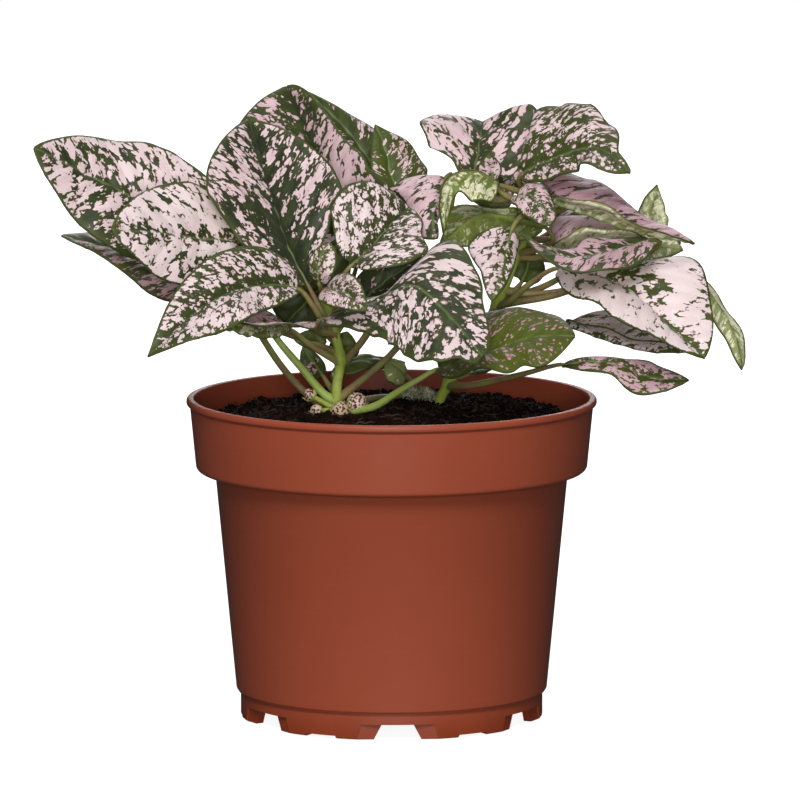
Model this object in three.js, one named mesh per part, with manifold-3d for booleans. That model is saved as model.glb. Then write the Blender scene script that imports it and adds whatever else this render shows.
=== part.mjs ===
// Potted polka dot plant: a speckled pink and green foliage plant in a plastic nursery pot.
//
// Millimetres, +Z up. The origin is on the pot's axis, on the surface that the pot stands on.
// The pot and the soil are turned shapes, the stems are tubes swept along curves, and every leaf
// is a thin blade lofted across its midrib, waved and folded as the living leaf is.

import * as THREE from 'three';
import { mergeVertices } from 'three/addons/utils/BufferGeometryUtils.js';
import Module from 'manifold-3d';

const wasm = await Module();
wasm.setup();

// Pot
const POT_HEIGHT = 94;
const POT_SIDES = 42;
const RIM_RADIUS = 60;
const RIM_BEAD_HEIGHT = 2.2;
const COLLAR_TOP_RADIUS = 59;
const COLLAR_FOOT_RADIUS = 57.3;
const COLLAR_FOOT_HEIGHT = 75.4;
const COLLAR_UNDERSIDE = 72.8;
const BODY_TOP_RADIUS = 51.8;
const BODY_FOOT_RADIUS = 45.6;
const BODY_FOOT_HEIGHT = 8.6;
const SKIRT_RADIUS = 44.3;
const SKIRT_INNER_RADIUS = 40.6;
const SKIRT_HEIGHT = 7.6;
const WALL = 1.4;
const FLOOR_UNDERSIDE = 5.4;
const FLOOR_TOP = 7;
const FLOOR_ROUND = 1;
const EDGE_ROUND = 0.6;
const COLLAR_ROUND = 1.6;
const COLLAR_ROUND_HEIGHT = 0.9;
const SKIRT_LEDGE = 0.4;
const SKIRT_LEDGE_HEIGHT = 0.2;

// Foot notches and drain holes
const NOTCH_COUNT = 6;
const NOTCH_TURN = 2.4;
const NOTCH_HEIGHT = 4.5;
const NOTCH_TOP_HALF_WIDTH = 4.5;
const NOTCH_FOOT_HALF_WIDTH = 6.9;
const RECESS_TOP_HALF_WIDTH = 10.7;
const RECESS_FOOT_HALF_WIDTH = 11.9;
const RECESS_DEPTH = 0.8;
const HEEL_HALF_WIDTH = 4.6;
const HEEL_FLARE = 0.4;
const HEEL_HEIGHT = 0.8;
const CUT_REACH = 15;
const CUT_EXTRA = 3;
const DRAIN_RADIUS = 4;
const DRAIN_SIDES = 12;
const DRAIN_RING_RADIUS = 33;

// Soil
const SOIL_SIDES = 32;
const SOIL_CROWN = 90;
const SOIL_SHOULDER_RADIUS = 51;
const SOIL_SHOULDER = 88.6;
const SOIL_EDGE = 80.5;
const SOIL_LUMP = 0.9;
const SOIL_RINGS = 6;

// Clearances, stems and leaves
const GAP = 0.3;
const STALK_SIDES = 5;
const STALK_RADIUS = 0.95;
const TWIG_RADIUS = 0.7;
const STEM_SIDES = 8;
const BALL_SIDES = 7;
const BALL_RINGS = 5;
const CURVE_SAMPLES = 60;
const STALK_GAP = 0.65;
const BLADE_THICKNESS = 0.7;
const BLADE_COLUMNS = 5;
const BLADE_STATIONS = 11;
const RIB_DEPTH = 0.7;
const TIP_SHARE = 0.985;
const RIB_SAMPLES = 41;
const STEADY_SHARE = 0.45;
const MARGIN_SHARE = 0.12;
const CUP = 0.08;
const WAVE_HEIGHT = 0.8;
const WAVE_COUNT = 2.5;
const WAVE_LAG = 1.7;
const WAVE_FADE = 0.6;
const WAVE_REACH = 1.6;

const SEED = 7;

// Blade outlines: the exponents of a half-width curve that rises from the base and falls to the tip
const OUTLINES = {
  oval: [0.55, 0.8],
  round: [0.5, 0.55],
  pointed: [0.6, 1.05],
  slim: [0.7, 0.9],
};

// Two shoots rise from the soil; a low runner leaves the first one at soil level
const STEMS = [
  {
    name: 'stem_left',
    radius: 1.6,
    path: [[-16, 0, 80], [-16, 0, 90], [-16, 0, 97], [-15, 0, 105], [-17, -2, 115], [-19, -5, 123]],
    nodes: [[-15, 0, 105, 2.1], [-17, -2, 115, 1.9], [-19, -5, 123, 1.9]],
    buds: [[-24, -2, 95, 1.5], [-22, -4, 90.5, 1.6], [-10, -2, 92.5, 2.4], [-15, -5, 90.5, 2.4]],
  },
  {
    name: 'stem_right',
    radius: 1.5,
    path: [[14, 16, 80], [14, 16, 90], [17, 15, 96], [23, 13, 106], [31, 10, 120], [37, 10, 135],
      [42, 10, 146], [44, 8, 155]],
    nodes: [[17, 15, 96, 2.2], [31, 10, 120, 2.1], [37, 10, 135, 1.9], [43, 9, 151, 1.9]],
    buds: [],
  },
];

// Leaves. stalk runs from the stem's axis to the blade, rib from the blade's base to its tip, and
// left and right are places that the two margins pass, seen from above looking along the rib.
const LEAVES = [
  {
    name: 'leaf_far_left', stem: 'stem_left', outline: 'oval',
    stalk: [[-16, 0, 90], [-22, 4, 92], [-30, 8, 99], [-39, 16, 111], [-46, 24, 124]],
    rib: [[-49, 12, 140], [-71, 12, 149], [-85, 10, 156], [-104.5, 2, 167]],
    left: [[-70, 4, 133], [-89, 0, 143]],
    right: [[-59, 20, 160], [-71, 22, 166], [-85, 18, 168]],
  },
  {
    name: 'leaf_far_left_lower', stem: 'stem_left', outline: 'oval',
    stalk: [[-16, 0, 93], [-19, 1, 94], [-27, 2, 103], [-33, 3, 110], [-38, 4, 117]],
    rib: [[-44, 4, 124], [-62, 10, 131], [-80, 14, 135], [-97, 12, 140]],
    left: [[-70, -1, 124], [-83, 6, 134]],
    right: [[-71, 28, 135], [-83, 26, 138]],
  },
  {
    name: 'leaf_left_pale', stem: 'stem_left', outline: 'oval',
    stalk: [[-17, -2, 115], [-19, 2, 117], [-30, 6, 128]],
    rib: [[-43, 3, 139], [-56, -4, 141], [-68, -14, 144], [-81, -24, 146]],
    left: [[-62, -18, 129], [-73, -24, 137]],
    right: [[-59, 0, 157], [-71, -8, 156]],
  },
  {
    name: 'leaf_left_upright', stem: 'stem_left', outline: 'oval',
    stalk: [[-17, -2, 115], [-19, -3, 117], [-21, -4.5, 121]],
    rib: [[-24, -5, 127], [-30, 0, 138], [-36, 10, 155], [-42, 22, 173]],
    left: [[-33, -7, 133], [-45, -8, 142], [-54, -6, 155], [-51, 6, 166]],
    right: [[-20, -6, 137], [-18, -3, 146], [-14, 0, 155], [-25, 12, 167]],
  },
  {
    name: 'leaf_front_left', stem: 'stem_left', outline: 'pointed',
    stalk: [[-17, -2, 114], [-20, -5, 117], [-23, -8, 122]],
    rib: [[-27, -10, 127], [-41, -22, 129], [-54, -34, 125], [-70, -46, 112]],
    left: [[-34, -26, 124], [-46, -42, 120], [-60, -48, 116]],
    right: [[-35, -12, 139], [-50, -22, 139], [-62, -34, 130]],
  },
  {
    name: 'leaf_front_left_lower', stem: 'stem_left', outline: 'pointed',
    stalk: [[-15, 0, 104], [-18, -2, 106], [-24, -4, 110]],
    rib: [[-30, -8, 115], [-34, -13, 114], [-42, -20, 115], [-54, -26, 120]],
    left: [[-39, -33, 120]],
    right: [[-38, -4, 122]],
  },
  {
    name: 'leaf_centre_round', stem: 'stem_left', outline: 'round',
    stalk: [[-19, -5, 123], [-18, -9, 127], [-15, -12, 130]],
    rib: [[-12, -13, 134], [-6, -8, 139], [0, -2, 145], [5, 6, 149]],
    left: [[-19, -12, 143], [-17, -4, 152], [-7, 3, 157]],
    right: [[-2, -21, 134], [10, -14, 138], [9, -4, 143]],
  },
  {
    name: 'leaf_young_upright', stem: 'stem_left', outline: 'round', stations: 8,
    stalk: [[-19, -5, 123], [-20, -8, 126]],
    rib: [[-21, -12, 129], [-21, -15, 135], [-18, -13, 141]],
    left: [[-24, -13, 135]],
    right: [[-16, -17, 135]],
  },
  {
    name: 'leaf_young_front', stem: 'stem_left', outline: 'oval', stations: 8,
    stalk: [[-19, -5, 123], [-20, -11, 125]],
    rib: [[-19, -18, 128], [-14, -28, 128.5], [-7, -35, 124]],
    left: [[-12, -25, 133.5]],
    right: [[-16, -32, 124.5]],
  },
  {
    name: 'leaf_top_left', stem: 'stem_left', outline: 'round',
    stalk: [[-17, -2, 116], [-17, 2, 121], [-15, 8, 130]],
    rib: [[-14, 12, 140], [-21, 20, 158], [-26, 27, 171], [-31, 32, 182]],
    left: [[-38, 14, 158], [-44, 23, 172]],
    right: [[1, 8, 149], [-7, 9, 161], [-17, 18, 172]],
  },
  {
    name: 'leaf_top_back', stem: 'stem_left', outline: 'oval',
    stalk: [[-17, -2, 113], [-13, 6, 120], [-6, 16, 131]],
    rib: [[2, 22, 142], [-6, 30, 159], [-15, 35, 170], [-26, 38, 180]],
    left: [[-15, 26, 158]],
    right: [[10, 30, 157], [-5, 38, 169], [-15, 40, 174]],
  },
  {
    name: 'leaf_top_folded', stem: 'stem_left', outline: 'pointed',
    stalk: [[-15, 0, 103], [-7, 7, 112], [0, 15, 130]],
    rib: [[4, 17, 147], [0, 21, 156], [-2, 24, 164], [-5, 28, 171]],
    left: [[-6, 22, 163]],
    right: [[10, 26, 158], [2, 29, 167]],
  },
  {
    name: 'leaf_centre_mauve', stem: 'stem_left', outline: 'round',
    stalk: [[-16, 0, 93], [-3, 6, 103], [2, 8, 108], [9, 14, 124], [16, 21, 140], [18, 23, 150], [18, 20, 157]],
    rib: [[16, 15, 157], [14, 9, 152], [12, 6, 146], [13, 3, 140]],
    left: [[15, 12, 148]],
    right: [[4, 19, 158], [0, 16, 154], [5, 9, 146]],
  },
  {
    name: 'leaf_centre_hooked', stem: 'stem_right', outline: 'slim', stations: 10,
    stalk: [[43, 9, 151], [36, 7, 154]],
    rib: [[31, 4, 156], [24, -2, 159], [17, -6, 156], [15, -8, 143]],
    left: [[16, -2, 151]],
    right: [[14, -10, 152]],
  },
  {
    name: 'leaf_front_centre', stem: 'stem_left', outline: 'round', stations: 14, cup: 0.02,
    stalk: [[-17, -2, 113], [-21, -7, 114], [-22, -12, 116]],
    rib: [[-20, -15, 119], [-4, -22, 125], [6, -29, 130.5], [16, -40, 123.5], [26, -50, 112.3]],
    left: [[-3, -8, 125], [7, -7, 134.5], [16, -11, 141], [25, -25, 133.5], [27.5, -40, 121]],
    right: [[-14, -26, 118.5, 0.2], [-8.3, -31, 117.3, 0.3], [-4.5, -35.5, 116, 0.38],
      [-0.5, -40, 114.5, 0.46], [3, -45, 113, 0.54], [6.5, -49, 111.8, 0.62],
      [13, -54, 111.5, 0.75], [20, -54, 112.4, 0.88]],
  },
  {
    name: 'leaf_top_waved', stem: 'stem_right', outline: 'round',
    stalk: [[43, 9, 151], [36, 10, 151], [28, 11, 151]],
    rib: [[24, 12, 156], [25, 18, 162], [26, 24, 167], [27, 34, 171]],
    left: [[18, 12, 160], [11, 17, 166], [9, 26, 173]],
    right: [[38, 17, 160], [45, 22, 171], [39, 32, 178]],
  },
  {
    name: 'leaf_top_right', stem: 'stem_right', outline: 'round',
    stalk: [[44, 8, 154], [38, 9, 155]],
    rib: [[38, 4, 159], [47, -2, 164], [59, -9, 168], [69, -20, 162]],
    left: [[37, 10, 169], [42, 11, 176], [50, 9, 179], [58, 4, 179],
      [63, -1, 174], [66, -13, 167]],
    right: [[52, -12, 161], [61, -21, 163]],
  },
  {
    name: 'leaf_right_long', stem: 'stem_right', outline: 'slim',
    stalk: [[42, 10, 145], [50, 7, 149]],
    rib: [[47, -2, 152], [57, -10, 149], [72, -14, 144], [88, -16, 141]],
    left: [[50, 6, 160], [58, 5, 156], [67, 2, 152], [79, -4, 146]],
    right: [[50, -14, 153], [62, -20, 151], [73, -20, 146]],
  },
  {
    name: 'leaf_right_inner', stem: 'stem_right', outline: 'oval',
    stalk: [[37, 10, 134], [42, 7, 134]],
    rib: [[48, 2, 136], [55, -2, 138], [65, -4, 140], [76, -4, 140]],
    left: [[49, 10, 146], [58, 8, 147], [68, 3, 143]],
    right: [[60, -11, 144]],
  },
  {
    name: 'leaf_right_hooked', stem: 'stem_right', outline: 'slim',
    stalk: [[31, 10, 120], [36, 7, 121], [49, 3, 124], [64, -2, 131], [76, -7, 138], [78, -11, 141]],
    rib: [[75, -14, 142], [66, -20, 140], [54, -25, 138], [45, -28, 140], [38, -26, 145]],
    left: [[60, -36, 135], [48, -34, 137]],
    right: [[69, -12, 143], [57, -15, 142], [50, -20, 140]],
  },
  {
    name: 'leaf_right_pale', stem: 'stem_right', outline: 'oval', stations: 14,
    stalk: [[31, 10, 119], [34, 6, 121], [40, 0, 127]],
    rib: [[49, -8, 133], [67, -20, 129], [80, -32, 119], [90, -42, 111]],
    left: [[72, -8, 136], [89, -16, 135], [93, -28, 123]],
    right: [[49, -20, 129], [66, -38, 122], [83, -46, 113]],
  },
  {
    name: 'leaf_far_right', stem: 'stem_right', outline: 'slim',
    stalk: [[33, 10, 124], [42, 9, 123], [61, 7, 126]],
    rib: [[87, 4, 129], [94, 4, 122], [100, 0, 112], [102, -8, 103]],
    left: [[95, 0, 115]],
    right: [[102.6, 6, 111]],
  },
  {
    name: 'leaf_right_back_small', stem: 'stem_right', outline: 'pointed', stations: 8,
    stalk: [[39, 10, 139], [46, 17, 138], [62, 20, 134]],
    rib: [[76, 19, 138], [76, 20, 146], [78, 21, 154]],
    left: [[80, 22, 148]],
    right: [[73, 18, 148]],
  },
  {
    name: 'leaf_right_low_folded', stem: 'stem_right', outline: 'round',
    stalk: [[30, 10, 118], [34, 6, 117], [43, 1, 115]],
    rib: [[51, -5, 116], [62, -13, 113], [75, -18, 110], [88, -20, 110]],
    left: [[56, 5, 121], [69, -2, 117]],
    right: [[60, -20, 117], [73, -24, 114]],
  },
  {
    name: 'leaf_front_right', stem: 'stem_left', outline: 'oval',
    stalk: [[-16, 0, 89], [-12, -2, 90], [-5, -6, 92], [2, -10, 97], [8, -13, 101]],
    rib: [[13, -14, 104], [28, -22, 110], [41, -28, 115], [53, -32, 116]],
    left: [[23, -6, 118], [36, -10, 121], [50, -22, 119]],
    right: [[25, -32, 106], [37, -38, 108], [49, -40, 110]],
  },
  {
    name: 'leaf_right_low_twisted', stem: 'stem_right', outline: 'slim',
    stalk: [[17, 15, 95], [19, 8, 96], [23, 2, 97], [32, -6, 100], [40, -13, 103]],
    rib: [[49, -18, 106], [63, -22, 107], [75, -26, 103], [86, -30, 103]],
    left: [[66, -20, 108], [76, -22, 107]],
    right: [[63, -26, 104], [76, -32, 99]],
  },
  {
    name: 'leaf_low_green', stem: 'stem_right', outline: 'slim', stations: 10,
    stalk: [[18, 15, 98], [20, 14, 98]],
    rib: [[23, 13, 99], [29, 11, 101], [37, 9, 103], [46, 6, 104]],
    left: [[34, 18, 104]],
    right: [[33, 4, 102]],
  },
  {
    name: 'leaf_centre_underside', stem: 'stem_right', outline: 'oval',
    stalk: [[37, 10, 135], [43, 5, 137], [47, 0, 140]],
    rib: [[45, -2, 144], [36, 0, 146], [26, 2, 147], [18, -1, 143]],
    left: [[39, 5, 148], [29, 9, 149], [18, 8, 148]],
    right: [[37, -2, 140], [26, -6, 139]],
  },
  {
    name: 'leaf_centre_hanging', stem: 'stem_right', outline: 'oval',
    stalk: [[43, 9, 150], [37, 4, 152], [33, -3, 153], [33, -10, 150]],
    rib: [[35, -13, 145], [33, -13, 138], [31, -18, 131], [29, -22, 125]],
    left: [[37, -10, 141], [35, -15, 133]],
    right: [[22, -14, 140], [26, -17, 133]],
  },
  {
    name: 'leaf_young_top', stem: 'stem_right', outline: 'pointed', stations: 8,
    stalk: [[43, 9, 151], [34, 7, 152]],
    rib: [[30, 5, 156], [29, 4, 161], [28, 2, 165]],
    left: [[25, 4, 160]],
    right: [[32, 6, 160]],
  },
  {
    name: 'leaf_young_right', stem: 'stem_right', outline: 'round', stations: 9,
    stalk: [[43, 9, 151], [38, 6, 151]],
    rib: [[36, -1, 153], [40, -6, 154], [44, -11, 150], [46, -14, 146]],
    left: [[40, -1, 157], [47, -8, 152]],
    right: [[36, -9, 151]],
  },
  {
    name: 'leaf_inner_green', stem: 'stem_right', outline: 'round', stations: 8,
    stalk: [[32, 10, 122], [35, 12, 123]],
    rib: [[38, 13, 126], [40, 14, 131], [41, 14, 135]],
    left: [[35, 14, 132]],
    right: [[45, 14, 130]],
  },
  {
    name: 'leaf_right_behind_pale', stem: 'stem_right', outline: 'oval',
    stalk: [[37, 10, 135], [46, 12, 133]],
    rib: [[58, 12, 133], [72, 8, 137], [85, 1, 137]],
    left: [[77, 13, 141]],
    right: [[74, 2, 133]],
  },
  {
    name: 'leaf_low_back_green', stem: 'stem_left', outline: 'oval', stations: 9,
    stalk: [[-16, 0, 96], [-16, 6, 97]],
    rib: [[-17, 14, 99], [-9, 17, 102.5], [4, 22, 101]],
    left: [[-6, 22, 103]],
    right: [[-6, 14, 100]],
  },
  {
    name: 'leaf_low_back_pale', stem: 'stem_left', outline: 'round', stations: 8,
    stalk: [[-16, 0, 91], [-6, 10, 92], [4, 18, 92.5], [6, 17, 95.5]],
    rib: [[4.5, 14, 98], [1.5, 13, 100.5], [-2, 13, 102]],
    left: [[-2, 10, 99.3]],
    right: [[3.5, 16, 101.7]],
  },
  {
    name: 'leaf_low_grey', stem: 'stem_left', outline: 'oval', stations: 8,
    stalk: [[-16, 0, 94], [-18, 6, 96]],
    rib: [[-20, 7, 99], [-23, 5.3, 103.5], [-26, 4.5, 108]],
    left: [[-26, 5, 100.5]],
    right: [[-21.5, 5.5, 105.5]],
  },
  {
    name: 'leaf_inner_middle', stem: 'stem_left', outline: 'oval', stations: 9,
    stalk: [[-17, -2, 112], [-14, 0, 116]],
    rib: [[-11, 0.5, 119.5], [-4, 1.5, 126], [3, 2.5, 131], [9, 4, 135]],
    left: [[-8, 4, 131], [1, 6, 137]],
    right: [[3, -2, 122], [9, 0, 128]],
  },
  {
    name: 'leaf_inner_left', stem: 'stem_left', outline: 'oval', stations: 8,
    stalk: [[-17, -2, 117], [-16.5, 4, 122], [-18, 7, 124.5]],
    rib: [[-20.5, 8.3, 124.8], [-24, 9, 122], [-28, 9.5, 117.5], [-32, 9, 114]],
    left: [[-22, 9, 115.5]],
    right: [[-30, 9, 124]],
  },
  {
    name: 'leaf_back_left', stem: 'stem_left', outline: 'oval',
    stalk: [[-16, 0, 110], [-22, 10, 114], [-28, 18, 121]],
    rib: [[-33, 24, 128], [-42, 36, 135], [-50, 48, 135], [-56, 59, 127]],
    left: [[-54, 37, 137]],
    right: [[-34, 50, 139]],
  },
  {
    name: 'leaf_back_left_low', stem: 'stem_left', outline: 'pointed',
    stalk: [[-16, 0, 107], [-28, 12, 110], [-40, 22, 114]],
    rib: [[-46, 28, 124], [-55, 36, 130], [-64, 43, 132], [-73, 49, 130]],
    left: [[-62, 28, 127]],
    right: [[-57, 50, 127]],
  },
  {
    name: 'leaf_back_middle', stem: 'stem_left', outline: 'oval',
    stalk: [[-17, -2, 114], [-15, 12, 118], [-12, 24, 124]],
    rib: [[-10, 30, 130], [-8, 40, 137], [-6, 50, 136], [-4, 59, 128]],
    left: [[-24, 42, 134]],
    right: [[8, 44, 137]],
  },
  {
    name: 'leaf_back_centre', stem: 'stem_right', outline: 'oval',
    stalk: [[37, 10, 134], [35, 15, 137], [33, 22, 144]],
    rib: [[32, 27, 150], [31, 38, 156], [30, 49, 156], [29, 59, 149]],
    left: [[20, 42, 154]],
    right: [[43, 46, 158]],
  },
  {
    name: 'leaf_back_right', stem: 'stem_right', outline: 'oval',
    stalk: [[37, 10, 136], [43, 18, 138], [47, 23, 140]],
    rib: [[49, 27, 143], [53, 38, 147], [57, 49, 145], [60, 59, 137]],
    left: [[40, 46, 146]],
    right: [[66, 39, 143]],
  },
  {
    name: 'leaf_back_far_right', stem: 'stem_right', outline: 'pointed',
    stalk: [[31, 10, 121], [44, 17, 124], [54, 22, 129]],
    rib: [[61, 25, 134], [70, 34, 139], [78, 42, 138], [85, 50, 131]],
    left: [[67, 46, 139]],
    right: [[82, 26, 135]],
  },
];

const COLOURS = {
  pot: 0x914b37,
  soil: 0x1d1613,
  stem: 0x6f7d3c,
  leaf: 0x9a7f80,
};

const POT_FINISH = { color: COLOURS.pot, roughness: 0.45, metalness: 0 };
const SOIL_FINISH = { color: COLOURS.soil, roughness: 1, metalness: 0 };
const STEM_FINISH = { color: COLOURS.stem, roughness: 0.55, metalness: 0 };
const LEAF_FINISH = { color: COLOURS.leaf, roughness: 0.5, metalness: 0 };

function random(seed) {
  let state = seed;
  return () => {
    state = (state * 16807) % 2147483647;
    return state / 2147483647;
  };
}

function mix(a, b, share) {
  return a + (b - a) * share;
}

function vector(place) {
  return new THREE.Vector3(place[0], place[1], place[2]);
}

// Solids

function toSolid(geometry) {
  const plain = geometry.clone();
  for (const attribute of Object.keys(plain.attributes)) {
    if (attribute !== 'position') plain.deleteAttribute(attribute);
  }
  const merged = mergeVertices(plain, 1e-4);
  return new wasm.Manifold(new wasm.Mesh({
    numProp: 3,
    vertProperties: new Float32Array(merged.attributes.position.array),
    triVerts: new Uint32Array(merged.index.array),
  }));
}

function toGeometry(solid) {
  const mesh = solid.getMesh();
  const geometry = new THREE.BufferGeometry();
  geometry.setAttribute('position', new THREE.BufferAttribute(mesh.vertProperties, 3));
  geometry.setIndex(new THREE.BufferAttribute(mesh.triVerts, 1));
  return geometry;
}

function named(name, geometry, finish) {
  geometry.computeVertexNormals();
  const mesh = new THREE.Mesh(geometry, new THREE.MeshStandardMaterial(finish));
  mesh.name = name;
  return mesh;
}

// A turned shape about the +Z axis; the profile is a list of [radius, height]
function turned(profile, sides) {
  const points = profile.map(([radius, height]) => new THREE.Vector2(radius, height));
  return new THREE.LatheGeometry(points, sides).rotateX(Math.PI / 2);
}

// A round tube along a curve, with flat closed ends
function tube(points, radius, sides, steps) {
  const section = new THREE.Shape();
  for (let side = 0; side < sides; side += 1) {
    const angle = (2 * Math.PI * side) / sides;
    const x = radius * Math.cos(angle);
    const y = radius * Math.sin(angle);
    if (side === 0) section.moveTo(x, y);
    else section.lineTo(x, y);
  }
  return new THREE.ExtrudeGeometry(section, {
    extrudePath: new THREE.CatmullRomCurve3(points),
    steps,
    bevelEnabled: false,
  });
}

// Pot

function bodyRadius(height) {
  const share = (height - BODY_FOOT_HEIGHT) / (COLLAR_UNDERSIDE - BODY_FOOT_HEIGHT);
  return mix(BODY_FOOT_RADIUS, BODY_TOP_RADIUS, share);
}

function collarRadius(height) {
  const top = POT_HEIGHT - RIM_BEAD_HEIGHT;
  const share = (height - COLLAR_FOOT_HEIGHT) / (top - COLLAR_FOOT_HEIGHT);
  return mix(COLLAR_FOOT_RADIUS, COLLAR_TOP_RADIUS, share);
}

const INNER_STEP = COLLAR_UNDERSIDE + WALL;
const INNER_STEP_TOP = COLLAR_FOOT_HEIGHT + WALL;

function potProfile() {
  const beadFoot = POT_HEIGHT - RIM_BEAD_HEIGHT;
  return [
    [0, FLOOR_UNDERSIDE],
    [SKIRT_INNER_RADIUS, FLOOR_UNDERSIDE],
    [SKIRT_INNER_RADIUS, 0],
    [SKIRT_RADIUS, 0],
    [SKIRT_RADIUS, SKIRT_HEIGHT],
    [BODY_FOOT_RADIUS - SKIRT_LEDGE, SKIRT_HEIGHT + SKIRT_LEDGE_HEIGHT],
    [BODY_FOOT_RADIUS, BODY_FOOT_HEIGHT],
    [BODY_TOP_RADIUS, COLLAR_UNDERSIDE],
    [COLLAR_FOOT_RADIUS - COLLAR_ROUND, COLLAR_UNDERSIDE],
    [COLLAR_FOOT_RADIUS - COLLAR_ROUND / 4, COLLAR_UNDERSIDE + COLLAR_ROUND_HEIGHT],
    [COLLAR_FOOT_RADIUS, COLLAR_FOOT_HEIGHT],
    [COLLAR_TOP_RADIUS, beadFoot],
    [RIM_RADIUS, beadFoot + EDGE_ROUND / 2],
    [RIM_RADIUS, POT_HEIGHT - EDGE_ROUND],
    [RIM_RADIUS - EDGE_ROUND, POT_HEIGHT],
    [COLLAR_TOP_RADIUS - WALL + EDGE_ROUND / 2, POT_HEIGHT],
    [COLLAR_TOP_RADIUS - WALL, beadFoot],
    [COLLAR_FOOT_RADIUS - WALL, INNER_STEP_TOP],
    [bodyRadius(INNER_STEP) - WALL, INNER_STEP],
    [BODY_FOOT_RADIUS - WALL, BODY_FOOT_HEIGHT],
    [BODY_FOOT_RADIUS - WALL - FLOOR_ROUND, FLOOR_TOP],
    [0, FLOOR_TOP],
  ];
}

// A wedge that stands on the floor and reaches outwards through the skirt
function skirtWedge(topHalfWidth, footHalfWidth, height) {
  const spread = ((footHalfWidth - topHalfWidth) * CUT_EXTRA) / height;
  const shape = new THREE.Shape();
  shape.moveTo(-footHalfWidth - spread, -CUT_EXTRA);
  shape.lineTo(footHalfWidth + spread, -CUT_EXTRA);
  shape.lineTo(topHalfWidth, height);
  shape.lineTo(-topHalfWidth, height);
  const wedge = new THREE.ExtrudeGeometry(shape, { depth: CUT_REACH, bevelEnabled: false });
  return wedge.rotateX(Math.PI / 2).translate(0, -(SKIRT_RADIUS - CUT_REACH / 2), 0);
}

function makePot() {
  let pot = toSolid(turned(potProfile(), POT_SIDES));
  const recessRadius = SKIRT_RADIUS - RECESS_DEPTH;
  const outside = toSolid(turned([
    [recessRadius, -CUT_EXTRA],
    [SKIRT_RADIUS + CUT_EXTRA, -CUT_EXTRA],
    [SKIRT_RADIUS + CUT_EXTRA, NOTCH_HEIGHT],
    [recessRadius, NOTCH_HEIGHT],
    [recessRadius, -CUT_EXTRA],
  ], POT_SIDES));
  const recess = toSolid(skirtWedge(RECESS_TOP_HALF_WIDTH, RECESS_FOOT_HALF_WIDTH, NOTCH_HEIGHT))
    .intersect(outside);
  const notch = toSolid(skirtWedge(NOTCH_TOP_HALF_WIDTH, NOTCH_FOOT_HALF_WIDTH, NOTCH_HEIGHT));
  const heel = toSolid(skirtWedge(HEEL_HALF_WIDTH, HEEL_HALF_WIDTH + HEEL_FLARE, HEEL_HEIGHT));
  const drain = toSolid(new THREE.CylinderGeometry(DRAIN_RADIUS, DRAIN_RADIUS, FLOOR_TOP, DRAIN_SIDES)
    .rotateX(Math.PI / 2).translate(0, -DRAIN_RING_RADIUS, FLOOR_TOP));
  const pitch = 360 / NOTCH_COUNT;
  for (let index = 0; index < NOTCH_COUNT; index += 1) {
    const turn = NOTCH_TURN + index * pitch;
    pot = pot.subtract(notch.rotate([0, 0, turn]));
    pot = pot.subtract(recess.rotate([0, 0, turn]));
    pot = pot.subtract(heel.rotate([0, 0, turn + pitch / 2]));
    pot = pot.subtract(drain.rotate([0, 0, turn]));
  }
  return named('pot', toGeometry(pot), POT_FINISH);
}

// Stems

// Even points along the part of a smooth curve that lies between two of its given places
function evenPoints(places, first, last, count) {
  const curve = new THREE.CatmullRomCurve3(places.map(vector));
  const trail = [];
  for (let index = 0; index <= CURVE_SAMPLES; index += 1) {
    const place = mix(first, last, index / CURVE_SAMPLES) / (places.length - 1);
    trail.push(curve.getPoint(place));
  }
  const lengths = [0];
  for (let index = 1; index <= CURVE_SAMPLES; index += 1) {
    lengths.push(lengths[index - 1] + trail[index].distanceTo(trail[index - 1]));
  }
  const points = [];
  let step = 1;
  for (let index = 0; index < count; index += 1) {
    const wanted = (lengths[CURVE_SAMPLES] * index) / (count - 1);
    while (step < CURVE_SAMPLES && lengths[step] < wanted) step += 1;
    const share = (wanted - lengths[step - 1]) / (lengths[step] - lengths[step - 1]);
    points.push(trail[step - 1].clone().lerp(trail[step], share));
  }
  return points;
}

function stalkPoints(leaf) {
  const places = [...leaf.stalk, ...leaf.rib];
  const count = leaf.stalk.length + 2;
  return evenPoints(places, 0, leaf.stalk.length, count);
}

function ball(place, radius) {
  return toSolid(new THREE.SphereGeometry(radius, BALL_SIDES, BALL_RINGS).rotateX(Math.PI / 2)
    .translate(place[0], place[1], place[2]));
}

// A stem with its swollen nodes, its low buds and its leaf stalks, grown outwards by a clearance
function stemSolid(stem, clearance) {
  const steps = stem.path.length * 2;
  let solid = toSolid(tube(stem.path.map(vector), stem.radius + clearance, STEM_SIDES, steps));
  for (const [x, y, z, radius] of stem.nodes) {
    solid = solid.add(ball([x, y, z], radius + clearance));
  }
  for (const [x, y, z, radius] of stem.buds) {
    const twig = [stem.path[1], [x, y, z]].map(vector);
    solid = solid.add(toSolid(tube(twig, TWIG_RADIUS + clearance, STALK_SIDES, 1)));
    solid = solid.add(ball([x, y, z], radius + clearance));
  }
  for (const leaf of LEAVES.filter((one) => one.stem === stem.name)) {
    const points = stalkPoints(leaf);
    const stalk = tube(points, STALK_RADIUS + clearance, STALK_SIDES, points.length - 1);
    solid = solid.add(toSolid(stalk));
  }
  return solid;
}

function makeStem(stem) {
  return named(stem.name, toGeometry(stemSolid(stem, 0)), STEM_FINISH);
}

// Soil

function soilRadius(height) {
  if (height <= INNER_STEP) return bodyRadius(height) - WALL - GAP;
  if (height >= INNER_STEP_TOP) return collarRadius(height - WALL) - WALL - GAP;
  const share = (height - INNER_STEP) / (INNER_STEP_TOP - INNER_STEP);
  return mix(bodyRadius(INNER_STEP), COLLAR_FOOT_RADIUS, share) - WALL - GAP;
}

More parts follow.
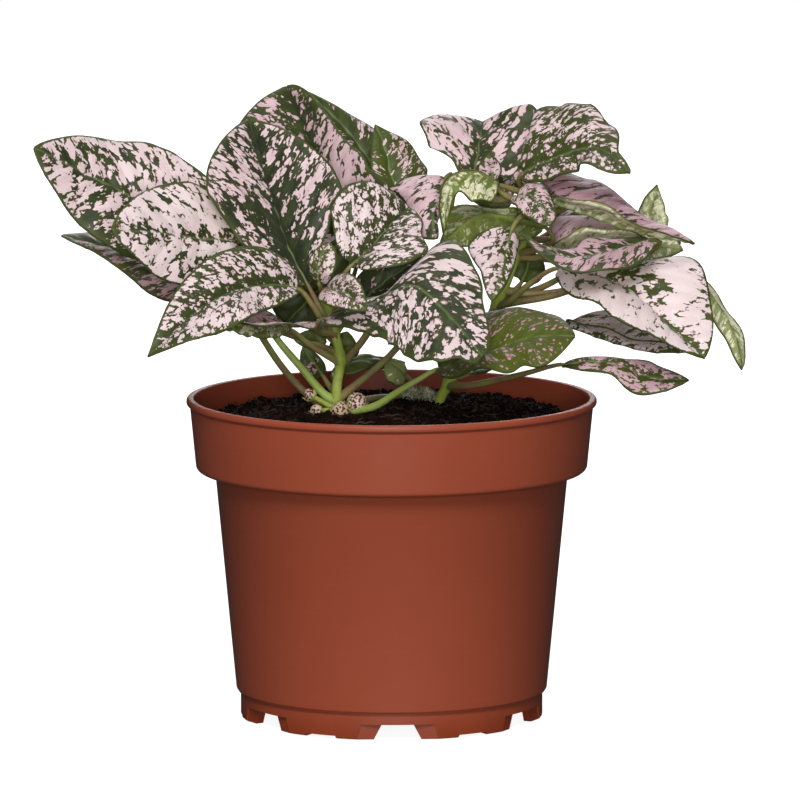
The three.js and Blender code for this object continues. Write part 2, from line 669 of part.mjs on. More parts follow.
function makeSoil() {
  const floor = FLOOR_TOP + GAP;
  const profile = [
    [0, floor],
    [soilRadius(BODY_FOOT_HEIGHT) - FLOOR_ROUND, floor],
    [soilRadius(BODY_FOOT_HEIGHT + GAP), BODY_FOOT_HEIGHT + GAP],
    [soilRadius(INNER_STEP) - GAP, INNER_STEP + GAP],
    [soilRadius(INNER_STEP_TOP) - GAP, INNER_STEP_TOP + GAP],
    [soilRadius(SOIL_EDGE), SOIL_EDGE],
    [(soilRadius(SOIL_EDGE) + SOIL_SHOULDER_RADIUS) / 2, (SOIL_EDGE + SOIL_SHOULDER) / 2],
    [SOIL_SHOULDER_RADIUS, SOIL_SHOULDER],
  ];
  for (let ring = 1; ring <= SOIL_RINGS; ring += 1) {
    const share = ring / SOIL_RINGS;
    const height = mix(SOIL_SHOULDER, SOIL_CROWN, 1 - (1 - share) ** 2);
    profile.push([SOIL_SHOULDER_RADIUS * (1 - share), height]);
  }
  const geometry = mergeVertices(stripped(turned(profile, SOIL_SIDES)), 1e-4);
  const draw = random(SEED);
  const places = geometry.attributes.position;
  for (let index = 0; index < places.count; index += 1) {
    const height = places.getZ(index);
    if (height > SOIL_EDGE + 1) places.setZ(index, height + SOIL_LUMP * (2 * draw() - 1));
  }
  let solid = toSolid(geometry);
  for (const stem of STEMS) {
    solid = solid.subtract(stemSolid(stem, GAP));
  }
  return named('soil', toGeometry(solid), SOIL_FINISH);
}

function stripped(geometry) {
  geometry.deleteAttribute('normal');
  geometry.deleteAttribute('uv');
  return geometry;
}

// Leaves

function halfWidth(outline, share) {
  const [rise, fall] = OUTLINES[outline];
  const widest = rise / (rise + fall);
  const inner = Math.min(Math.max(share, 0), 1);
  return (inner / widest) ** rise * ((1 - inner) / (1 - widest)) ** fall;
}

// Tangent, side and upper normal at every station, turned as little as possible along the rib
function ribFrames(rib, sideHint, middle) {
  const tangents = rib.map((point, index) => {
    const before = rib[Math.max(index - 1, 0)];
    const after = rib[Math.min(index + 1, rib.length - 1)];
    return after.clone().sub(before).normalize();
  });
  const sides = new Array(rib.length);
  sides[middle] = sideHint.clone().projectOnPlane(tangents[middle]).normalize();
  for (let index = middle + 1; index < rib.length; index += 1) {
    sides[index] = sides[index - 1].clone().projectOnPlane(tangents[index]).normalize();
  }
  for (let index = middle - 1; index >= 0; index -= 1) {
    sides[index] = sides[index + 1].clone().projectOnPlane(tangents[index]).normalize();
  }
  return rib.map((point, index) => ({
    point,
    side: sides[index],
    up: tangents[index].clone().cross(sides[index]),
    onwards: tangents[index],
  }));
}

// The station of the rib that lies nearest to a place on the margin, away from both ends
function nearest(rib, place) {
  const first = Math.round(rib.length * MARGIN_SHARE);
  const last = Math.round(rib.length * (1 - MARGIN_SHARE));
  let best = first;
  for (let index = first + 1; index <= last; index += 1) {
    if (rib[index].distanceTo(place) < rib[best].distanceTo(place)) best = index;
  }
  return best;
}

// A margin as a function of the station: the outline's half width, scaled and tilted so that the
// margin passes the given places. A fourth number in a place is the share of the rib it belongs to.
function marginOffsets(leaf, frames, places) {
  const rib = frames.map((frame) => frame.point);
  const knots = places.map((place) => {
    const margin = vector(place);
    const index = place.length > 3 ? Math.round(place[3] * (rib.length - 1)) : nearest(rib, margin);
    const share = index / (rib.length - 1);
    const offset = margin.clone().sub(rib[index]).divideScalar(halfWidth(leaf.outline, share));
    return {
      share,
      across: offset.dot(frames[index].side),
      rise: offset.dot(frames[index].up),
      onwards: place.length > 3 ? offset.dot(frames[index].onwards) : 0,
    };
  }).sort((a, b) => a.share - b.share);
  return frames.map((frame, index) => {
    const share = index / (frames.length - 1);
    const width = halfWidth(leaf.outline, share);
    let before = knots[0];
    let after = knots[knots.length - 1];
    for (const knot of knots) {
      if (knot.share <= share) before = knot;
    }
    for (const knot of [...knots].reverse()) {
      if (knot.share >= share) after = knot;
    }
    if (share < knots[0].share) before = knots[0];
    if (share > knots[knots.length - 1].share) after = knots[knots.length - 1];
    const span = after.share - before.share;
    const blend = span > 0 ? THREE.MathUtils.smoothstep(share, before.share, after.share) : 0;
    return [
      mix(before.across, after.across, blend) * width,
      mix(before.rise, after.rise, blend) * width,
      mix(before.onwards, after.onwards, blend) * width,
    ];
  });
}

function bladeSurface(leaf, stations, columns) {
  const places = [...leaf.stalk, ...leaf.rib];
  const line = evenPoints(places, leaf.stalk.length, places.length - 1, RIB_SAMPLES);
  const length = line[0].distanceTo(line[1]) * (RIB_SAMPLES - 1);
  const centre = (list) => list.map(vector).reduce((sum, one) => sum.add(one), new THREE.Vector3())
    .multiplyScalar(1 / list.length);
  const hint = centre(leaf.left).sub(centre(leaf.right));
  const frames = ribFrames(line, hint, Math.floor(RIB_SAMPLES * STEADY_SHARE));
  const left = marginOffsets(leaf, frames, leaf.left);
  const right = marginOffsets(leaf, frames, leaf.right);
  const cup = leaf.cup ?? CUP;
  const grid = [];
  for (let station = 0; station < stations; station += 1) {
    const share = mix(STALK_GAP / length, TIP_SHARE, station / (stations - 1));
    const place = share * (RIB_SAMPLES - 1);
    const low = Math.min(Math.floor(place), RIB_SAMPLES - 2);
    const part = place - low;
    const point = frames[low].point.clone().lerp(frames[low + 1].point, part);
    const side = frames[low].side.clone().lerp(frames[low + 1].side, part).normalize();
    const up = frames[low].up.clone().lerp(frames[low + 1].up, part).normalize();
    const onwards = side.clone().cross(up);
    const row = [];
    for (let column = 0; column < columns; column += 1) {
      const across = (2 * column) / (columns - 1) - 1;
      const table = across < 0 ? left : right;
      const reach = Math.abs(across);
      const a = mix(table[low][0], table[low + 1][0], part);
      const b = mix(table[low][1], table[low + 1][1], part);
      const c = mix(table[low][2], table[low + 1][2], part);
      const size = Math.hypot(a, b);
      const lean = across < 0 ? 1 : -1;
      const bow = cup * size * 4 * (reach - reach * reach);
      const calm = Math.sin(Math.PI * share) ** WAVE_FADE * reach ** WAVE_REACH;
      const turn = 2 * Math.PI * WAVE_COUNT * share + (across < 0 ? 0 : WAVE_LAG);
      const wave = WAVE_HEIGHT * calm * Math.sin(turn);
      const lift = size > 0 ? (bow + wave) / size : 0;
      row.push(point.clone()
        .addScaledVector(side, a * reach - lift * b * lean)
        .addScaledVector(up, b * reach + lift * a * lean)
        .addScaledVector(onwards, c * reach));
    }
    grid.push(row);
  }
  return grid;
}

function bladeGeometry(leaf) {
  const stations = leaf.stations ?? BLADE_STATIONS;
  const grid = bladeSurface(leaf, stations, BLADE_COLUMNS);
  const middle = (BLADE_COLUMNS - 1) / 2;
  const count = 2 * BLADE_COLUMNS;
  const points = [];
  for (let station = 0; station < stations; station += 1) {
    const share = station / (stations - 1);
    const before = grid[Math.max(station - 1, 0)];
    const after = grid[Math.min(station + 1, stations - 1)];
    const row = grid[station];
    const normals = row.map((point, column) => {
      const track = station === 0 ? middle : column;
      const along = after[track].clone().sub(before[track]);
      const across = row[Math.max(column - 1, 0)].clone()
        .sub(row[Math.min(column + 1, BLADE_COLUMNS - 1)]);
      return along.cross(across).normalize();
    });
    for (let column = 0; column < BLADE_COLUMNS; column += 1) {
      points.push(row[column].clone().addScaledVector(normals[column], BLADE_THICKNESS / 2));
    }
    for (let column = BLADE_COLUMNS - 1; column >= 0; column -= 1) {
      const rib = column === middle ? RIB_DEPTH * (1 - share) : 0;
      points.push(row[column].clone()
        .addScaledVector(normals[column], -BLADE_THICKNESS / 2 - rib));
    }
  }
  const faces = [];
  for (let station = 0; station < stations - 1; station += 1) {
    for (let around = 0; around < count; around += 1) {
      const next = (around + 1) % count;
      const a = station * count + around;
      const b = station * count + next;
      const c = (station + 1) * count + next;
      const d = (station + 1) * count + around;
      const upper = around < BLADE_COLUMNS;
      if (upper) faces.push(a, c, d, a, b, c);
      else faces.push(a, b, d, d, b, c);
    }
  }
  const last = (stations - 1) * count;
  for (let column = 0; column < BLADE_COLUMNS - 1; column += 1) {
    const under = count - 1 - column;
    faces.push(column, under, column + 1, column + 1, under, under - 1);
    faces.push(last + column, last + column + 1, last + under);
    faces.push(last + column + 1, last + under - 1, last + under);
  }
  const geometry = new THREE.BufferGeometry();
  const flat = points.flatMap((point) => [point.x, point.y, point.z]);
  geometry.setAttribute('position', new THREE.Float32BufferAttribute(flat, 3));
  geometry.setIndex(faces);
  return geometry;
}

function makeLeaf(leaf) {
  return named(leaf.name, bladeGeometry(leaf), LEAF_FINISH);
}

const plant = new THREE.Group();
plant.add(makePot(), makeSoil(), ...STEMS.map(makeStem), ...LEAVES.map(makeLeaf));

export default plant;
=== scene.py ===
# %% [markdown]
# # A potted polka dot plant
# This lesson dresses a packed CAD model of a young polka dot plant in a 12 cm nursery pot. The
# CAD solids say how big everything is and where it stands. Here each of them gets a finer piece
# of the same form: a pot with soft moulded edges, crumbly soil, tapered stems, and thin leaves
# with veins and their pink and green pattern.

# %% Load the packed model
import math
import random
from types import SimpleNamespace

import bpy
import numpy as np
from mathutils import Matrix, Vector, noise


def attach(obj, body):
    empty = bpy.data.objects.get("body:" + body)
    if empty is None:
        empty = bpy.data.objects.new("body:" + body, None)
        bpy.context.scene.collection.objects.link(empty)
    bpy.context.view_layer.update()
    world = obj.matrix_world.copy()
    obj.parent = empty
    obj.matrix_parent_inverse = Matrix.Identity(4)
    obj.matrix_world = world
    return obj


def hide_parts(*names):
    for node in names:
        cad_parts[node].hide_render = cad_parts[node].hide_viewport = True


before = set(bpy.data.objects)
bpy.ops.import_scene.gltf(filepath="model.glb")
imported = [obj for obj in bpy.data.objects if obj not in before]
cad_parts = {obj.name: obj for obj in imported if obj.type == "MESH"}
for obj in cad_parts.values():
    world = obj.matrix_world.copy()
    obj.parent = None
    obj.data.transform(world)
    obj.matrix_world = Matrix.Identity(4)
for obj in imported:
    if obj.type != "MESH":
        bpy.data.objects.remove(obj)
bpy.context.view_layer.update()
MM = 0.001
print("CAD nodes:", len(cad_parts))


# %% [markdown]
# Operators act on whatever is selected, and the loader leaves the CAD nodes selected. So every
# step here starts from an empty selection, and each finished piece is put in place by moving its
# vertices, which leaves the object itself at the origin.

# %% Small helpers for operators
def deselect():
    if bpy.context.object and bpy.context.object.mode != "OBJECT":
        bpy.ops.object.mode_set(mode="OBJECT")
    bpy.ops.object.select_all(action="DESELECT")


def rename(name):
    piece = bpy.context.object
    piece.name = name
    piece.data.name = name
    return piece


def take(piece):
    deselect()
    piece.select_set(True)
    bpy.context.view_layer.objects.active = piece


def settle(piece):
    take(piece)
    bpy.ops.object.transform_apply(location=True, rotation=True, scale=True)


def apply_modifier(piece, kind, **settings):
    take(piece)
    modifier = piece.modifiers.new(kind.title(), kind)
    for key, value in settings.items():
        setattr(modifier, key, value)
    bpy.ops.object.modifier_apply(modifier=modifier.name)


def dress(piece, slot_name, *materials):
    for material in materials:
        piece.data.materials.append(material)
    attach(piece, "root")


deselect()
print("selected after the start:", len(bpy.context.selected_objects))


# %% [markdown]
# ## Camera
# The photograph looks at the plant from the front and a little above, from far enough away that
# the pot's sides hardly converge. A long lens does the same here. The camera aims at a point
# above the middle of the plant and pot, so it needs no lens shift.

# %% Place the camera
CAMERA_DISTANCE = 2.5
CAMERA_ELEVATION = math.radians(8.08)
CAMERA_AIM = Vector((0.00246, 0, 0.09305))
CAMERA_SIGHT = 20
FOCAL_PIXELS = 8550
IMAGE_PIXELS = 800
SENSOR_WIDTH = 36

back = Vector((0, -math.cos(CAMERA_ELEVATION), math.sin(CAMERA_ELEVATION)))
deselect()
bpy.ops.object.camera_add(location=CAMERA_AIM + back * CAMERA_DISTANCE,
                          rotation=(math.pi / 2 - CAMERA_ELEVATION, 0, 0))
camera = rename("camera")
camera.data.lens = FOCAL_PIXELS / IMAGE_PIXELS * SENSOR_WIDTH
camera.data.sensor_width = SENSOR_WIDTH
camera.data.clip_end = CAMERA_SIGHT
bpy.context.scene.camera = camera
print("lens, mm:", round(camera.data.lens, 1))


# %% [markdown]
# ## Light
# The photograph was lit for a catalogue. The pot is brightest in the middle and dark at both
# sides, so most of the light comes from the front: a large soft light high above the camera and a
# lower one straight ahead. Two weaker ones, above and behind the plant, lift the upper leaves off
# the background. A dim world colour keeps the shadows from going black.

# %% Soft studio lights
LIGHT_AIM = Vector((0, 0, 0.09))
WORLD_STRENGTH = 0.07


def add_light(name, place, size, power):
    deselect()
    turn = (LIGHT_AIM - Vector(place)).to_track_quat("-Z", "Y").to_euler()
    bpy.ops.object.light_add(type="AREA", location=place, rotation=turn)
    lamp = rename(name)
    lamp.data.shape = "DISK"
    lamp.data.size = size
    lamp.data.energy = power


add_light("key_light", (-0.1, -1.4, 1.2), 0.8, 20)
add_light("front_light", (0.03, -1.9, 0.3), 0.6, 15)
add_light("top_light", (0, 0.3, 1.7), 0.9, 6)
add_light("back_light", (0.1, 1.5, 0.9), 0.9, 8)

world = bpy.data.worlds.new("pale_studio")
world.use_nodes = True
world.node_tree.nodes["Background"].inputs["Color"].default_value = (1, 1, 1, 1)
world.node_tree.nodes["Background"].inputs["Strength"].default_value = WORLD_STRENGTH
bpy.context.scene.world = world
bpy.context.scene.view_settings.view_transform = "Standard"


# %% [markdown]
# ## Shader arithmetic
# A material is a graph of nodes, and a graph is hard to read in code. The class below wraps a
# node's output, so that sums and products of such outputs are written as plain expressions. One
# method adds any other node.

# %% A socket that can be added and multiplied
class Flow:
    def __init__(self, tree, socket=None):
        self.tree = tree
        self.socket = socket

    def node(self, kind, settings=None, values=None, output=0):
        made = self.tree.nodes.new("ShaderNode" + kind)
        for key, value in (settings or {}).items():
            setattr(made, key, value)
        for key, value in (values or {}).items():
            if isinstance(value, Flow):
                self.tree.links.new(value.socket, made.inputs[key])
            else:
                made.inputs[key].default_value = value
        return Flow(self.tree, made.outputs[output])

    def math(self, operation, *others):
        return self.node("Math", {"operation": operation}, dict(enumerate((self, *others))))

    def __add__(self, other):
        return self.math("ADD", other)

    def __sub__(self, other):
        return self.math("SUBTRACT", other)

    def __mul__(self, other):
        return self.math("MULTIPLY", other)

    def __truediv__(self, other):
        return self.math("DIVIDE", other)

    def __rsub__(self, other):
        return self.node("Math", {"operation": "SUBTRACT"}, {0: other, 1: self})

    __radd__ = __add__
    __rmul__ = __mul__

    def step(self, low, high):
        """0 below low, 1 above high, and a smooth rise between them."""
        return self.node("MapRange", {"interpolation_type": "SMOOTHSTEP"},
                         {"Value": self, "From Min": low, "From Max": high})

    def hill(self, width):
        """1 where the value is 0, falling to 0 over a width."""
        return 1 - self.math("ABSOLUTE").step(0, width)

    def mix(self, first, second):
        """The first colour where this is 0 and the second where it is 1."""
        return self.node("Mix", {"data_type": "RGBA"}, {0: self, 6: first, 7: second}, output=2)

    def between(self, first, second):
        """The same for two colours as a picture editor gives them."""
        return self.mix(rgb(*first), rgb(*second))

    def noise(self, scale, detail=2, roughness=0.5, output=0):
        values = {"Vector": self, "Scale": scale, "Detail": detail, "Roughness": roughness}
        return self.node("TexNoise", {}, values, output)

    def parts(self):
        made = self.node("SeparateXYZ", {}, {0: self})
        return [Flow(self.tree, socket) for socket in made.socket.node.outputs]

    def stretched(self, x, y, z):
        return self.node("Mapping", {}, {"Vector": self, "Scale": (x, y, z)})

    def wobbled(self, shift, reach):
        """This place, moved by a random shift that is scaled by a reach along each axis."""
        return self.node("VectorMath", {"operation": "MULTIPLY_ADD"}, {0: shift, 1: reach, 2: self})

    def bump(self, strength, distance):
        """The normal that this height gives a surface, with the relief's depth in metres."""
        return self.node("Bump", {}, {"Strength": strength, "Distance": distance, "Height": self})


print("methods:", [name for name in vars(Flow) if not name.startswith("_")])

# %% Colours and materials
def rgb(red, green, blue):
    """A colour as a picture editor gives it, 0 to 255, made linear."""
    return tuple(((c / 255 + 0.055) / 1.055) ** 2.4 if c > 10 else c / 255 / 12.92
                 for c in (red, green, blue)) + (1,)


def painted(colour, *coats):
    """A colour with coats laid over it, each an amount from 0 to 1 and a picture editor's colour."""
    for amount, coat in coats:
        colour = amount.mix(colour, rgb(*coat))
    return colour


def new_material(name, **constants):
    """A material, its node graph's start, and the shader whose sockets get the results."""
    material = bpy.data.materials.new(name)
    material.use_nodes = True
    shader = material.node_tree.nodes["Principled BSDF"]
    for key, value in constants.items():
        shader.inputs[key.replace("_", " ")].default_value = value
    return material, Flow(material.node_tree), shader


def object_place(start):
    """Where a point lies on its object, in metres."""
    return start.node("TexCoord", output=3)


def connect(shader, **flows):
    tree = shader.id_data
    for key, value in flows.items():
        tree.links.new(value.socket, shader.inputs[key.replace("_", " ")])


print("white as a linear colour:", rgb(255, 255, 255))


# %% [markdown]
# ## Floor
# The plant stands on a plain white studio floor that fills the picture. It only catches a soft
# shadow. The photograph's white is even and throws no light back on the pot, so the floor glows by
# itself, and it is hidden from the rays that gather bounced light. It is part of the stage and
# not of the plant.

# %% Studio floor
FLOOR_SIZE = 6
FLOOR_DROP = 0.0004

deselect()
bpy.ops.mesh.primitive_plane_add(size=FLOOR_SIZE, location=(0, 0, -FLOOR_DROP))
floor = rename("studio_floor")
settle(floor)
floor_material, start, shader = new_material(
    "white_studio_floor", Roughness=0.8, Specular_IOR_Level=0, Emission_Color=(1, 1, 1, 1),
    Emission_Strength=0.9)
grain = object_place(start).noise(90, 3)
connect(shader, Base_Color=grain.between((215, 215, 215), (211, 211, 211)))
floor.data.materials.append(floor_material)
floor.visible_diffuse = False
floor.visible_glossy = False
print("floor, m:", FLOOR_SIZE)


# %% [markdown]
# ## Pot
# The real pot is one thin moulding of coloured plastic. Its wall can be drawn as a line of rings:
# a circle is extruded from ring to ring, widened or narrowed each time, up the outside, over the
# rim and down the inside to the floor. That keeps every ring round and the wall evenly thin. The
# small roundings at the rim and the collar are extra rings.

# %% Sizes of the pot
POT_SIDES = 192
POT_HEIGHT = 94 * MM
RIM_RADIUS = 60 * MM
BEAD_FOOT = 91.8 * MM
COLLAR_TOP_RADIUS = 59 * MM
COLLAR_FOOT_RADIUS = 57.3 * MM
COLLAR_FOOT_HEIGHT = 75.4 * MM
COLLAR_UNDERSIDE = 72.8 * MM
BODY_TOP_RADIUS = 51.8 * MM
BODY_FOOT_RADIUS = 45.6 * MM
BODY_FOOT_HEIGHT = 8.6 * MM
SKIRT_RADIUS = 44.3 * MM
SKIRT_INNER_RADIUS = 40.6 * MM
SKIRT_HEIGHT = 7.6 * MM
WALL = 1.4 * MM
FLOOR_UNDERSIDE = 5.4 * MM
FLOOR_TOP = 7 * MM

print("pot, mm:", round(2 * RIM_RADIUS / MM), "wide and", round(POT_HEIGHT / MM), "high")

# %% Rings of the pot's wall
def corner(radius, height, turn_from, turn_to, rounding, steps=4):
    """Rings around a rounded edge: turn angles are in degrees, 0 outwards and 90 upwards."""
    rings = []
    for step in range(steps + 1):
        angle = math.radians(turn_from + (turn_to - turn_from) * step / steps)
        rings.append((radius + rounding * math.cos(angle), height + rounding * math.sin(angle)))
    return rings


def pot_rings():
    soft = 0.5 * MM
    collar_turn = 1.5 * MM
    bead_turn = 0.8 * MM
    rim_turn = 0.9 * MM
    lip_turn = 0.6 * MM
    inner_step = COLLAR_UNDERSIDE + WALL
    inner_body = BODY_TOP_RADIUS - WALL
    return [
        (SKIRT_INNER_RADIUS, FLOOR_UNDERSIDE),
        (SKIRT_INNER_RADIUS, 0),
        *corner(SKIRT_RADIUS - soft, soft, -90, 0, soft),
        (SKIRT_RADIUS, SKIRT_HEIGHT),
        (BODY_FOOT_RADIUS - 0.5 * MM, SKIRT_HEIGHT + 0.1 * MM),
        *corner(BODY_FOOT_RADIUS - soft, BODY_FOOT_HEIGHT, -60, 0, soft),
        (BODY_TOP_RADIUS - 0.2 * MM, COLLAR_UNDERSIDE - 1 * MM),
        (BODY_TOP_RADIUS + 0.4 * MM, COLLAR_UNDERSIDE - 0.2 * MM),
        (BODY_TOP_RADIUS + 1 * MM, COLLAR_UNDERSIDE),
        *corner(COLLAR_FOOT_RADIUS - collar_turn, COLLAR_UNDERSIDE + collar_turn, -90, 0, collar_turn, 6),
        (COLLAR_TOP_RADIUS - 0.05 * MM, BEAD_FOOT - 0.4 * MM),
        (COLLAR_TOP_RADIUS + 0.3 * MM, BEAD_FOOT),
        *corner(RIM_RADIUS - bead_turn, BEAD_FOOT + rim_turn, -60, 0, bead_turn),
        *corner(RIM_RADIUS - rim_turn, POT_HEIGHT - rim_turn, 0, 90, rim_turn, 6),
        *corner(COLLAR_TOP_RADIUS - WALL + 0.7 * MM, POT_HEIGHT - lip_turn, 90, 180, lip_turn),
        (COLLAR_TOP_RADIUS - WALL, BEAD_FOOT),
        (COLLAR_FOOT_RADIUS - WALL, COLLAR_FOOT_HEIGHT + WALL),
        (inner_body + 1 * MM, inner_step),
        (inner_body, inner_step - 1 * MM),
        (BODY_FOOT_RADIUS - WALL, BODY_FOOT_HEIGHT),
        (BODY_FOOT_RADIUS - WALL - 1 * MM, FLOOR_TOP),
    ]


print("rings in the pot's wall:", len(pot_rings()))

# %% Extrude the wall ring by ring
def extruded_rings(name, rings, sides):
    """A closed turned shape: a filled circle that is extruded and resized from ring to ring."""
    deselect()
    radius, height = rings[0]
    bpy.ops.mesh.primitive_circle_add(vertices=sides, radius=radius, fill_type="NGON",
                                      location=(0, 0, height))
    piece = rename(name)
    settle(piece)
    bpy.ops.object.mode_set(mode="EDIT")
    bpy.ops.mesh.select_all(action="SELECT")
    for (old, low), (new, high) in zip(rings, rings[1:]):
        bpy.ops.mesh.extrude_region_move(TRANSFORM_OT_translate={"value": (0, 0, high - low)})
        bpy.ops.transform.resize(value=(new / old, new / old, 1), center_override=(0, 0, high))
    bpy.ops.mesh.select_all(action="SELECT")
    bpy.ops.mesh.normals_make_consistent(inside=False)
    bpy.ops.object.mode_set(mode="OBJECT")
    return piece


pot = extruded_rings("nursery_pot", pot_rings(), POT_SIDES)
print("pot faces before cutting:", len(pot.data.polygons))


# %% [markdown]
# The foot ring has six wide notches that let water out from under the pot, with a shallow step
# beside each of them, and the floor has six round drain holes. Each kind of cutter is made once
# and copied round the foot, and a boolean modifier takes the copies away from the pot.

# %% Cutters for the foot
NOTCH_COUNT = 6
CUT_DEPTH = 3 * MM


def wedge(name, top_half, foot_half, height, near, far):
    """A block across the skirt on the pot's front, wider at its foot than at its top."""
    deselect()
    bpy.ops.mesh.primitive_cube_add(size=1, location=(0, -(near + far) / 2, (height - CUT_DEPTH) / 2))
    block = rename(name)
    block.scale = (2 * top_half, far - near, height + CUT_DEPTH)
    settle(block)
    flare = (foot_half - top_half) * (height + CUT_DEPTH) / height / top_half
    bpy.ops.object.mode_set(mode="EDIT")
    bpy.ops.mesh.select_all(action="DESELECT")
    bpy.ops.object.mode_set(mode="OBJECT")
    for vertex in block.data.vertices:
        vertex.select = vertex.co.z < 0
    bpy.ops.object.mode_set(mode="EDIT")
    bpy.ops.transform.resize(value=(1 + flare, 1, 1), center_override=(0, 0, 0))
    bpy.ops.object.mode_set(mode="OBJECT")
    return block


def copy_of(model, name):
    piece = model.copy()
    piece.data = model.data.copy()
    piece.name = piece.data.name = name
    bpy.context.scene.collection.objects.link(piece)
    return piece


def cut_round(piece, cutter, turn):
    """Cuts a piece with a cutter that is turned and copied evenly about the pot's axis."""
    cutter.data.transform(Matrix.Rotation(turn, 4, "Z"))
    copies = [cutter]
    for index in range(1, NOTCH_COUNT):
        copy = copy_of(cutter, f"{cutter.name}_{index}")
        copy.data.transform(Matrix.Rotation(2 * math.pi * index / NOTCH_COUNT, 4, "Z"))
        copies.append(copy)
    deselect()
    for copy in copies:
        copy.select_set(True)
    bpy.context.view_layer.objects.active = cutter
    bpy.ops.object.join()
    apply_modifier(piece, "BOOLEAN", operation="DIFFERENCE", solver="EXACT", object=cutter)
    bpy.data.objects.remove(cutter)


print("a cutter turns by, degrees:", 360 / NOTCH_COUNT)

# %% Cut the foot notches and the drain holes
NOTCH_TURN = math.radians(2.4)
NOTCH_HEIGHT = 4.5 * MM
NOTCH_HALVES = (4.5 * MM, 6.9 * MM)
STEP_HALVES = (10.7 * MM, 11.9 * MM)
STEP_INNER_RADIUS = SKIRT_RADIUS - 0.8 * MM - 1.2 * MM
HEEL_HALVES = (4.6 * MM, 5 * MM)
HEEL_HEIGHT = 0.8 * MM
DRAIN_RADIUS = 4 * MM
DRAIN_DISTANCE = 33 * MM
SHARP_EDGE = math.radians(35)

reach_in, reach_out = SKIRT_INNER_RADIUS - 3 * MM, SKIRT_RADIUS + 4 * MM
cut_round(pot, wedge("notch", *NOTCH_HALVES, NOTCH_HEIGHT, reach_in, reach_out), NOTCH_TURN)
cut_round(pot, wedge("step", *STEP_HALVES, NOTCH_HEIGHT, STEP_INNER_RADIUS, reach_out), NOTCH_TURN)
heel = wedge("heel", *HEEL_HALVES, HEEL_HEIGHT, reach_in, reach_out)
cut_round(pot, heel, NOTCH_TURN + math.pi / NOTCH_COUNT)
deselect()
bpy.ops.mesh.primitive_cylinder_add(vertices=32, radius=DRAIN_RADIUS, depth=6 * MM,
                                    location=(0, -DRAIN_DISTANCE, FLOOR_TOP))
drain = rename("drain")
settle(drain)
cut_round(pot, drain, NOTCH_TURN)
take(pot)
bpy.ops.object.shade_smooth_by_angle(angle=SHARP_EDGE)
print("pot faces after cutting:", len(pot.data.polygons))


# %% [markdown]
# The plastic is a warm terracotta brown with a satin face. It isn't perfectly even: the colour
# drifts a little, the moulding has left a very fine orange-peel skin, and handling has rubbed
# faint level streaks into it. Shade is painted on the foot, which is darker, and the inside of
# the rim is brighter, where light comes through the thin wall. All of it is worked out from the
# place on the pot.

# %% Terracotta-coloured plastic
FOOT_SHADE_HEIGHT = 11
INNER_RIM_RADIUS = 57 * MM
INNER_RIM_FOOT = 85 * MM

pot_material, start, shader = new_material(
    "terracotta_plastic", Metallic=0, IOR=1.42, Specular_IOR_Level=0.36)
place = object_place(start)
x, y, height = place.parts()[:3]
drift = place.noise(28, 3, 0.6)
skin = place.noise(2600, 2, 0.5)
rubbed = place.stretched(90, 90, 900).noise(1, 3, 0.6).step(0.56, 0.74)
# Painted shade: the foot of the pot is darkened.
foot = (height * 1000).hill(FOOT_SHADE_HEIGHT)
inside = (INNER_RIM_RADIUS - (x * x + y * y).math("SQRT")).step(0, 1 * MM)
inside = inside * (height - INNER_RIM_FOOT).step(0, 5 * MM)
colour = painted(drift.between((154, 71, 48), (162, 79, 54)),
                 (rubbed * 0.1, (178, 98, 68)),
                 (foot * 0.8, (138, 56, 26)),
                 (inside * 0.75, (204, 102, 60)))
connect(shader, Base_Color=colour, Roughness=0.4 + drift * 0.1 - rubbed * 0.05,
        Normal=skin.bump(0.12, 0.2 * MM))
dress(pot, "pot", pot_material)
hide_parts("pot")
print("material:", pot_material.name)


# %% [markdown]
# ## Soil
# The pot is filled with dark peat mix, mounded a little and pressed in by hand. It is built in
# two steps. First comes one body that fills the pot, with a top that is inset many times so that
# it has enough points to be pushed into lumps. Then loose crumbs and a few pale fibres lie on it.

# %% Height of the soil
SOIL_CROWN = 90 * MM
SOIL_SHOULDER_RADIUS = 51 * MM
SOIL_SHOULDER = 88.6 * MM
SOIL_EDGE_RADIUS = 55.9 * MM
SOIL_EDGE = 80.5 * MM
LUMP_WIDTHS_AND_HEIGHTS = ((14, 1.1), (5, 0.7), (1.9, 0.45))


def soil_height(x, y):
    """The top of the soil at a place, in metres."""
    radius = math.hypot(x, y)
    if radius > SOIL_SHOULDER_RADIUS:
        share = (radius - SOIL_SHOULDER_RADIUS) / (SOIL_EDGE_RADIUS - SOIL_SHOULDER_RADIUS)
        base = SOIL_SHOULDER + (SOIL_EDGE - SOIL_SHOULDER) * share
    else:
        share = radius / SOIL_SHOULDER_RADIUS
        base = SOIL_CROWN + (SOIL_SHOULDER - SOIL_CROWN) * share ** 2
    spot = Vector((x, y, 0)) / MM
    lumps = sum(noise.noise(spot / width) * height for width, height in LUMP_WIDTHS_AND_HEIGHTS)
    return base + lumps * MM


print("soil height at the middle, mm:", round(soil_height(0, 0) / MM, 1))

# %% Body of the soil
SOIL_SIDES = 160
SOIL_INSETS = 46
SOIL_RINGS = [
    (43 * MM, 7.3 * MM),
    (44 * MM, 9 * MM),
    (49.9 * MM, 74 * MM),
    (55.3 * MM, 77.5 * MM),
    (SOIL_EDGE_RADIUS, SOIL_EDGE),
]

